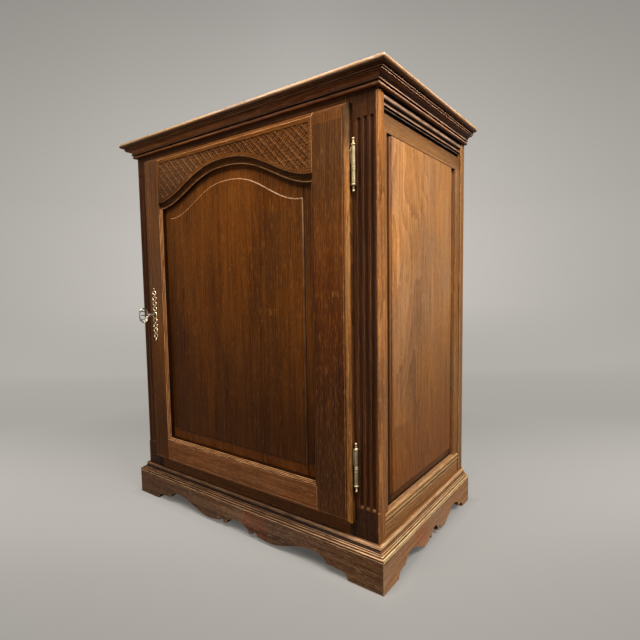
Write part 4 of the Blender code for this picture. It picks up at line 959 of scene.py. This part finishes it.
def reededStrip(place):
    node = "door_moulding_" + place
    low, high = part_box(node)
    deep = (high.y - low.y) * 1000
    profile = reedProfile + [(reed["fillet"], deep, 0), (0.0, deep, 0)]
    places = []
    for inward, back, member in profile:
        y = low.y + back / 1000
        if place == "bottom":
            places.append(Vector((low.x, y, low.z + inward / 1000)))
        else:
            x = low.x + inward / 1000 if place == "left" else high.x - inward / 1000
            places.append(Vector((x, y, low.z)))
    run = Vector((high.x - low.x, 0, 0)) if place == "bottom" else Vector((0, 0, high.z - low.z))
    item = profileRun(node + "_reeded", places, run)
    for vert in item.data.vertices:
        if place == "bottom":
            inward = vert.co.z - low.z + reed["mitre"]
            vert.co.x = low.x + inward if vert.co.x < (low.x + high.x) / 2 else high.x - inward
        elif vert.co.z < (low.z + high.z) / 2:
            vert.co.z = low.z + (vert.co.x - low.x if place == "left" else high.x - vert.co.x) + reed["mitre"]
    grain = "x" if place == "bottom" else "z"
    rubbed = [band("dull_" + place, 1.0, reedCrownTint[place])] if place in reedCrownTint else []
    # the dirt members nearly black, partly dirt and partly painted shade
    for edge, dirtAndPaintedLight in ((False, []), (True, rubbed), (False, [band("reed_soot", 0.95, (0.10, 0.07, 0.05))])):
        item.data.materials.append(oak("front", grain, 4, edge=edge, stainsAndPaintedLight=dirtAndPaintedLight))

    def inAndBack(at):
        inward = {"bottom": at.z - low.z, "left": at.x - low.x, "right": high.x - at.x}[place]
        return 1000 * inward, 1000 * (at.y - low.y)

    wearMembers(item, inAndBack, profile)
    smooth(item, 42)
    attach(item, "door")
    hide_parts(node)
    return item


for place in ("left", "right", "bottom"):
    reededStrip(place)
print("door reeds drawn")


# barrel hinges, turned with finials
hinge = {"barrel": 0.00425, "groove": 0.0004, "finial": 0.0155, "sleeve": 0.0046, "bore": 0.0022,
         "leaf": 0.002, "leafMargin": 0.002, "leafRoot": 0.003}


def finial(base, way):
    # flared ring, neck, bead, neck and ball, from the barrel outwards, in millimetres
    steps = [(4.25, 0.0), (4.45, 0.3), (5.3, 0.9), (5.4, 1.6), (5.2, 2.3), (4.3, 2.9), (3.2, 3.6), (2.4, 4.6),
             (1.9, 5.6), (1.7, 6.4), (2.4, 6.9), (2.6, 7.4), (2.4, 7.9), (1.6, 8.4), (1.5, 9.2), (2.0, 9.8)]
    for step in range(9):
        angle = -0.85 + (pi / 2 + 0.85) * step / 8
        steps.append((max(3.0 * cos(angle), 0.0), 12.3 + 3.0 * sin(angle)))
    steps[-1] = (0.0, hinge["finial"] * 1000)
    return [(radius / 1000, base + way * height / 1000) for radius, height in steps]


def hingePiece(name, node, profile, centre, body, leaf=None):
    item = turned(name, profile, centre)
    if leaf:
        plate = boxBetween("leaf", *leaf, rounding=0.0003)
        item = joined(name, item, plate)
    smooth(item, 35)
    item.data.materials.clear()
    item.data.materials.append(agedBrass)
    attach(item, body)
    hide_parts(node)
    return item


def hingeAt(level):
    doorNode, frameNode = "hinge_door_knuckle_" + level, "hinge_frame_knuckle_" + level
    sleeveNode = "hinge_sleeve_" + level
    sleeveLow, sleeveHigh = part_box(sleeveNode)
    x, y = (sleeveLow.x + sleeveHigh.x) / 2, (sleeveLow.y + sleeveHigh.y) / 2
    centre = (x, y, 0.0)
    doorLow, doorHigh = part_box(doorNode)
    frameLow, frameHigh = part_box(frameNode)
    barrel, half, margin = hinge["barrel"], hinge["leaf"] / 2, hinge["leafMargin"]
    top, foot = doorHigh.z - hinge["finial"], frameLow.z + hinge["finial"]
    cut = barrel - hinge["groove"]
    groove = [(barrel, 0.0), (barrel, 0.0016), (cut, 0.0019), (cut, 0.0023), (barrel, 0.0026)]
    doorProfile = [(0.0, doorLow.z)] + [(r, doorLow.z + h) for r, h in groove]
    doorProfile += [(r, top - h) for r, h in reversed(groove)] + finial(top, 1)
    leaf = ((doorLow.x, y - half, doorLow.z + margin), (x - hinge["leafRoot"], y + half, top - margin))
    hingePiece("hinge_door_barrel_" + level, doorNode, doorProfile, centre, "door", leaf)
    frameProfile = [(0.0, frameHigh.z)] + [(r, frameHigh.z - h) for r, h in groove]
    frameProfile += [(r, foot + h) for r, h in reversed(groove)] + finial(foot, -1)
    leaf = ((x - half, y + hinge["leafRoot"], foot + margin), (x + half, frameHigh.y, frameHigh.z - margin))
    hingePiece("hinge_frame_barrel_" + level, frameNode, frameProfile, centre, "carcass", leaf)
    wide, bore = hinge["sleeve"], hinge["bore"]
    ribs = [(wide - 0.0004, 0.0), (wide, 0.0005), (wide, 0.0020), (wide - 0.0005, 0.0024),
            (wide - 0.0005, 0.0034), (wide, 0.0038)]
    outer = [(r, sleeveLow.z + h) for r, h in ribs] + [(r, sleeveHigh.z - h) for r, h in reversed(ribs)]
    ring = [(bore, sleeveLow.z)] + outer + [(bore, sleeveHigh.z), (bore, sleeveLow.z)]
    hingePiece("hinge_sleeve_turned_" + level, sleeveNode, ring, centre, "carcass")


for level in ("lower", "upper"):
    hingeAt(level)
print("hinges turned")

# small round tack in the door's edge, beside the upper hinge
tack = {"radius": 0.0017, "proud": 0.0010, "height": 0.8528, "back": 0.0112}
stileLow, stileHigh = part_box("door_stile_hinge")
bpy.ops.mesh.primitive_uv_sphere_add(segments=20, ring_count=12, radius=tack["radius"])
tackHead = named(bpy.context.object, "hinge_tack")
tackHead.rotation_euler = (0, pi / 2, 0)
tackHead.scale = (1, 1, tack["proud"] / tack["radius"])
tackFoot = stileHigh.x + 0.0001
tackHead.location = (tackFoot, stileLow.y + tack["back"], tack["height"])
applyPlace(tackHead)
editing(tackHead)
bpy.ops.mesh.bisect(plane_co=(tackFoot, 0, 0), plane_no=(1, 0, 0), clear_inner=True, use_fill=True)
doneEditing()
smooth(tackHead, 50)
tackHead.data.materials.append(agedBrass)
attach(tackHead, "door")


# scrolled key plate and key
keyPlate = {"rod": 0.00115, "voxel": 0.00036, "boss": (0.0068, 0.0088),
            "curls": [(0.0585, 0.0440), (0.0300, 0.0160), (-0.0160, -0.0300), (-0.0440, -0.0575)],
            "bars": [(0.0385, 0.0355), (-0.0355, -0.0385)]}
plateLow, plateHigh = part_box("escutcheon")
keyLow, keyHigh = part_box("key")
keyX = (plateLow.x + plateHigh.x) / 2
keyZ = (plateLow.z + plateHigh.z) / 2
doorFace = plateHigh.y + 0.0003


def plateRod(points, rod, thin=None, closed=False):
    y = doorFace - rod * 0.8
    return stroke([(keyX + across, y, keyZ + up) for across, up in points], rod, thin, closed)


def scrollPair(high, low):
    # an open curl that runs down across the plate into a second one, turned the other way
    sway, middle = 0.0008, (high + low) / 2
    first = []
    for step in range(25):
        share = step / 24
        angle = radians(285 - 305 * share)
        reach = 0.0040 + 0.0020 * share
        first.append((reach * 1.42 * cos(angle) - sway, reach * 1.10 * sin(angle) + high - middle))
    points = first + [(-across, -up) for across, up in reversed(first)]
    return [(across, up + middle) for across, up in points]


def castTogether(name, items, voxel):
    # strokes cast into one skin
    item = joined(name, *items)
    applyModifier(item, "REMESH", mode="VOXEL", voxel_size=voxel, use_smooth_shade=True)
    applyModifier(item, "SMOOTH", factor=0.5, iterations=2)
    return item


rod = keyPlate["rod"]
plateStrokes = []
for high, low in keyPlate["curls"]:
    points = scrollPair(high, low)
    plateStrokes.append(plateRod(points, rod, thin=0.85))
    for end in (points[0], points[-1]):
        plateStrokes.append(plateRod([end, (end[0] + 0.0002, end[1])], rod * 1.3))
plateStrokes.append(plateRod([(0.0, 0.0665), (0.0, 0.0640)], rod * 0.8))
for high, low in keyPlate["bars"]:
    plateStrokes.append(plateRod([(0.0, high), (0.0, low)], rod * 0.9))
leaf = [(0.0016 * sin(step * 0.55), -0.0640 - 0.0009 * step) for step in range(11)]
plateStrokes.append(plateRod(leaf, rod * 1.5, thin=0.3))
bossWide, bossTall = keyPlate["boss"]
boss = [(bossWide * cos(2 * pi * s / 40), bossTall * sin(2 * pi * s / 40) - 0.0015) for s in range(40)]
plateStrokes.append(plateRod(boss, rod * 1.2, closed=True))
topBall = (keyX, doorFace - 0.0012, keyZ + 0.0705)
bpy.ops.mesh.primitive_uv_sphere_add(radius=0.0022, segments=20, ring_count=12, location=topBall)
plateStrokes.append(applyPlace(bpy.context.object))
keyScrolls = castTogether("key_plate_scrolls", plateStrokes, keyPlate["voxel"])
keyScrolls.data.materials.clear()
keyScrolls.data.materials.append(rubbedBrass)
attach(keyScrolls, "door")
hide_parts("escutcheon")
print("key plate cast,", len(keyScrolls.data.polygons), "faces")

keyMake = {"bowLong": 0.029, "bowTall": 0.041, "rod": 0.0016, "shank": 0.0029, "collar": 0.0046,
           "voxel": 0.00045}


def bowStroke(points, rod, thin=None, closed=False):
    return stroke([(keyX, y, keyZ + z) for y, z in points], rod, thin, closed)


bowFront = keyLow.y
bowBack = bowFront + keyMake["bowLong"]
bowMid = (bowFront + bowBack) / 2
rod = keyMake["rod"]
halfLong, halfTall = keyMake["bowLong"] / 2 - rod, keyMake["bowTall"] / 2 - rod
oval = [(bowMid + halfLong * cos(2 * pi * s / 48), halfTall * sin(2 * pi * s / 48)) for s in range(48)]
bow = [bowStroke(oval, rod, closed=True)]
for flip in (1, -1):
    fan = [(bowBack - 0.028 * s / 20, flip * (0.0010 + 0.0105 * sin(pi * 0.62 * s / 20))) for s in range(21)]
    bow.append(bowStroke(fan, rod * 0.95))
    curl = [(bowBack - 0.002 - 0.013 * s / 16, flip * (0.002 + 0.0165 * (s / 16) ** 0.8)) for s in range(17)]
    bow.append(bowStroke(curl, rod * 0.85, thin=0.7))
bow.append(bowStroke([(bowBack, 0.0), (bowFront + 0.006, 0.0)], rod))
keyBow = castTogether("bow", bow, keyMake["voxel"])
shank, collar = keyMake["shank"], keyMake["collar"]
turnings = [(0.0, -0.0015), (0.0026, -0.0012), (shank, 0.0), (collar - 0.0006, 0.0004), (collar, 0.0010),
            (collar, 0.0018), (collar - 0.0006, 0.0024), (shank, 0.0028), (shank, 0.0045), (0.0037, 0.0050),
            (0.0037, 0.0056), (shank, 0.0061)]
tip = keyHigh.y - bowBack
profile = turnings + [(shank, tip - 0.0004), (shank - 0.0005, tip), (0.0, tip)]
keyShank = turned("shank", profile, (keyX, bowBack, keyZ), "Y")
bitFoot = keyLow.z if keyLow.z > keyZ - 0.0115 else keyZ - 0.0108
bitLow = (keyX - 0.0012, keyHigh.y - 0.0020 - 0.0056, bitFoot)
bitHigh = (keyX + 0.0012, keyHigh.y - 0.0024, keyZ - 0.001)
keyBit = boxBetween("bit", bitLow, bitHigh, rounding=0.0003)
key = joined("key_forged", keyBow, keyShank, keyBit)
smooth(key, 40)
key.data.materials.clear()
key.data.materials.append(keyMetal)
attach(key, "key")
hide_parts("key")
print("key made,", len(key.data.polygons), "faces")


# studio: a round pale sweep, three soft lamps and a camera at the photograph's place
studio = {
    "floor": 2.6, "cove": 1.0, "wall": 4.5, "shade": (0.225, 0.218, 0.208), "bounce": (0.10, 0.095, 0.09),
    "ahead": (-0.594, 0.804, 0.0), "across": (0.804, 0.594, 0.0), "tint": (1.0, 0.950, 0.878),
    "floorFrom": -0.553, "floorTo": 1.947,
    "floorGlowTones": [(0.0, 0.34), (0.09, 0.43), (0.15, 0.50), (0.24, 0.585), (0.35, 0.50), (0.44, 0.43),
                   (0.54, 0.385), (0.88, 0.42), (1.0, 0.45)],
    "wallGlowTones": [(0.0, 0.46), (0.12, 0.53), (0.26, 0.53), (0.34, 0.51), (0.54, 0.44), (0.75, 0.345),
                  (0.9, 0.29)],
    "footMiddle": (0.0, 0.025), "footHalf": (0.405, 0.243),
}


def toneRamp(tree, value, tones):
    ramp = node(tree, "ValToRGB", {"Fac": value})
    ramp.color_ramp.interpolation = "B_SPLINE"
    stops = ramp.color_ramp.elements
    while len(stops) < len(tones):
        stops.new(0.5)
    for stop, (place, level) in zip(stops, tones):
        stop.position = place
    for stop, (place, level) in zip(stops, tones):
        stop.color = (*(level * c for c in studio["tint"]), 1)
    return ramp.outputs["Color"]


def paleSweep():
    profile = [(0.0, 0.0), (studio["floor"], 0.0)]
    for step in range(1, 13):
        angle = pi / 2 * step / 12
        profile.append((studio["floor"] + studio["cove"] * sin(angle), studio["cove"] * (1 - cos(angle))))
    profile.append((studio["floor"] + studio["cove"], studio["wall"]))
    item = turned("studio_sweep", profile, (0, 0, -0.0005), steps=64)
    editing(item, "FACE")
    bpy.ops.mesh.flip_normals()
    doneEditing()
    smooth(item, 60)
    material, tree, shader = startMaterial("pale_paper_with_glow")
    coords = node(tree, "TexCoord").outputs["Object"]
    places = node(tree, "SeparateXYZ", {"Vector": coords}).outputs
    mottle = speckle(tree, coords, (1.2, 1.2, 1.2), 2.0).outputs["Fac"]
    darker, lighter = [tuple(share * c for c in studio["shade"]) for share in (0.96, 1.04)]
    paper = blended(tree, "MIX", mottle, darker, lighter)
    rays = node(tree, "LightPath").outputs
    mirrored = sums(tree, "MAXIMUM", rays["Is Glossy Ray"], rays["Is Transmission Ray"])
    seen = sums(tree, "MAXIMUM", rays["Is Camera Ray"], mirrored)
    tree.links.new(blended(tree, "MIX", seen, studio["bounce"], paper), shader.inputs["Base Color"])
    shader.inputs["Roughness"].default_value = 0.9
    shader.inputs["Specular IOR Level"].default_value = 0.0
    # the paper's painted glow for the camera and in reflections, a painted pool of light: brightest beside
    # the cabinet, darker towards the front, the foot of the wall and the top
    ways = [node(tree, "VectorMath", {0: coords, 1: studio[way]}, operation="DOT_PRODUCT")
            for way in ("ahead", "across")]
    ahead, across = [way.outputs["Value"] for way in ways]
    ground = toneRamp(tree, spread(tree, ahead, studio["floorFrom"], studio["floorTo"]), studio["floorGlowTones"])
    wall = toneRamp(tree, spread(tree, places["Z"], 0.0, 4.0), studio["wallGlowTones"])
    aside = sums(tree, "ABSOLUTE", across, 0.0)
    dim = spread(tree, aside, 1.7, 2.6, 0.0, 0.18)
    wall = blended(tree, "MULTIPLY", dim, wall, (0.0, 0.0, 0.0))
    halo = spread(tree, aside, 1.7, 0.2)
    wall = blended(tree, "MULTIPLY", halo, wall, (1.20, 1.20, 1.21))
    pale = blended(tree, "MIX", spread(tree, places["Z"], 0.0, 0.4), ground, wall)
    glow = node(tree, "Emission", {"Color": pale, "Strength": seen})
    beside = []
    for axis, middle, half in zip("XY", studio["footMiddle"], studio["footHalf"]):
        reach = sums(tree, "ABSOLUTE", sums(tree, "SUBTRACT", places[axis], middle), 0.0)
        beside.append(sums(tree, "SUBTRACT", reach, half))
    away = sums(tree, "MAXIMUM", *beside)
    close, distant = spread(tree, away, -0.03, 0.03, 0.14, 0.62), spread(tree, away, 0.04, 0.9, 0.0, 0.38)
    share = sums(tree, "ADD", close, distant)
    mix = node(tree, "MixShader", {0: share, 1: shader.outputs["BSDF"], 2: glow.outputs["Emission"]})
    output = next(n for n in tree.nodes if n.bl_idname == "ShaderNodeOutputMaterial")
    tree.links.new(mix.outputs["Shader"], output.inputs["Surface"])
    item.data.materials.append(material)
    return item


lamps = {
    "ceilingLamp": {"place": (0.20, -1.05, 2.25), "size": 0.8, "power": 60.0, "tint": (1.0, 0.95, 0.88)},
    "windowLamp": {"place": (1.50, -0.38, 1.95), "size": 0.8, "power": 78.0, "tint": (1.0, 0.97, 0.92)},
    "fillLamp": {"place": (-0.3, -2.5, 0.45), "size": 1.4, "power": 15.0, "tint": (1.0, 0.97, 0.94)},
}
lookAt = Vector((0.0, 0.0, 0.55))
for name, lamp in lamps.items():
    bpy.ops.object.light_add(type="AREA", location=lamp["place"])
    light = bpy.context.object
    light.name = name
    light.data.shape = "SQUARE"
    light.data.size = lamp["size"]
    light.data.energy = lamp["power"]
    light.data.color = lamp["tint"]
    light.visible_camera = False
    light.rotation_euler = (Vector(lamp["place"]) - lookAt).to_track_quat("Z", "Y").to_euler()

world = bpy.data.worlds.new("soft_world")
bpy.context.scene.world = world
world.use_nodes = True
world.node_tree.nodes["Background"].inputs["Color"].default_value = (0.95, 0.97, 1.0, 1.0)
world.node_tree.nodes["Background"].inputs["Strength"].default_value = 0.10

paleSweep()

view = {"place": (0.81007, -0.95969, 0.60045), "yaw": 0.6360, "pitch": 0.0766, "roll": -0.0151,
        "focalPixels": 458.28, "photoPixels": 640, "sensor": 36.0}


def photoCamera():
    yaw, pitch, roll = view["yaw"], view["pitch"], view["roll"]
    ahead = Vector((-sin(yaw) * cos(pitch), cos(yaw) * cos(pitch), -sin(pitch)))
    right = ahead.cross(Vector((0, 0, 1))).normalized()
    up = right.cross(ahead)
    turnedRight = cos(roll) * right + sin(roll) * up
    turnedUp = -sin(roll) * right + cos(roll) * up
    bpy.ops.object.camera_add(location=view["place"])
    camera = bpy.context.object
    camera.name = "photo_camera"
    camera.data.sensor_width = view["sensor"]
    camera.data.lens = view["focalPixels"] / view["photoPixels"] * view["sensor"]
    camera.data.clip_start = 0.05
    axes = Matrix((turnedRight, turnedUp, -ahead)).transposed()
    camera.matrix_world = Matrix.Translation(view["place"]) @ axes.to_4x4()
    bpy.context.scene.camera = camera


photoCamera()
bpy.context.scene.view_settings.view_transform = "Standard"
print("studio and camera set")
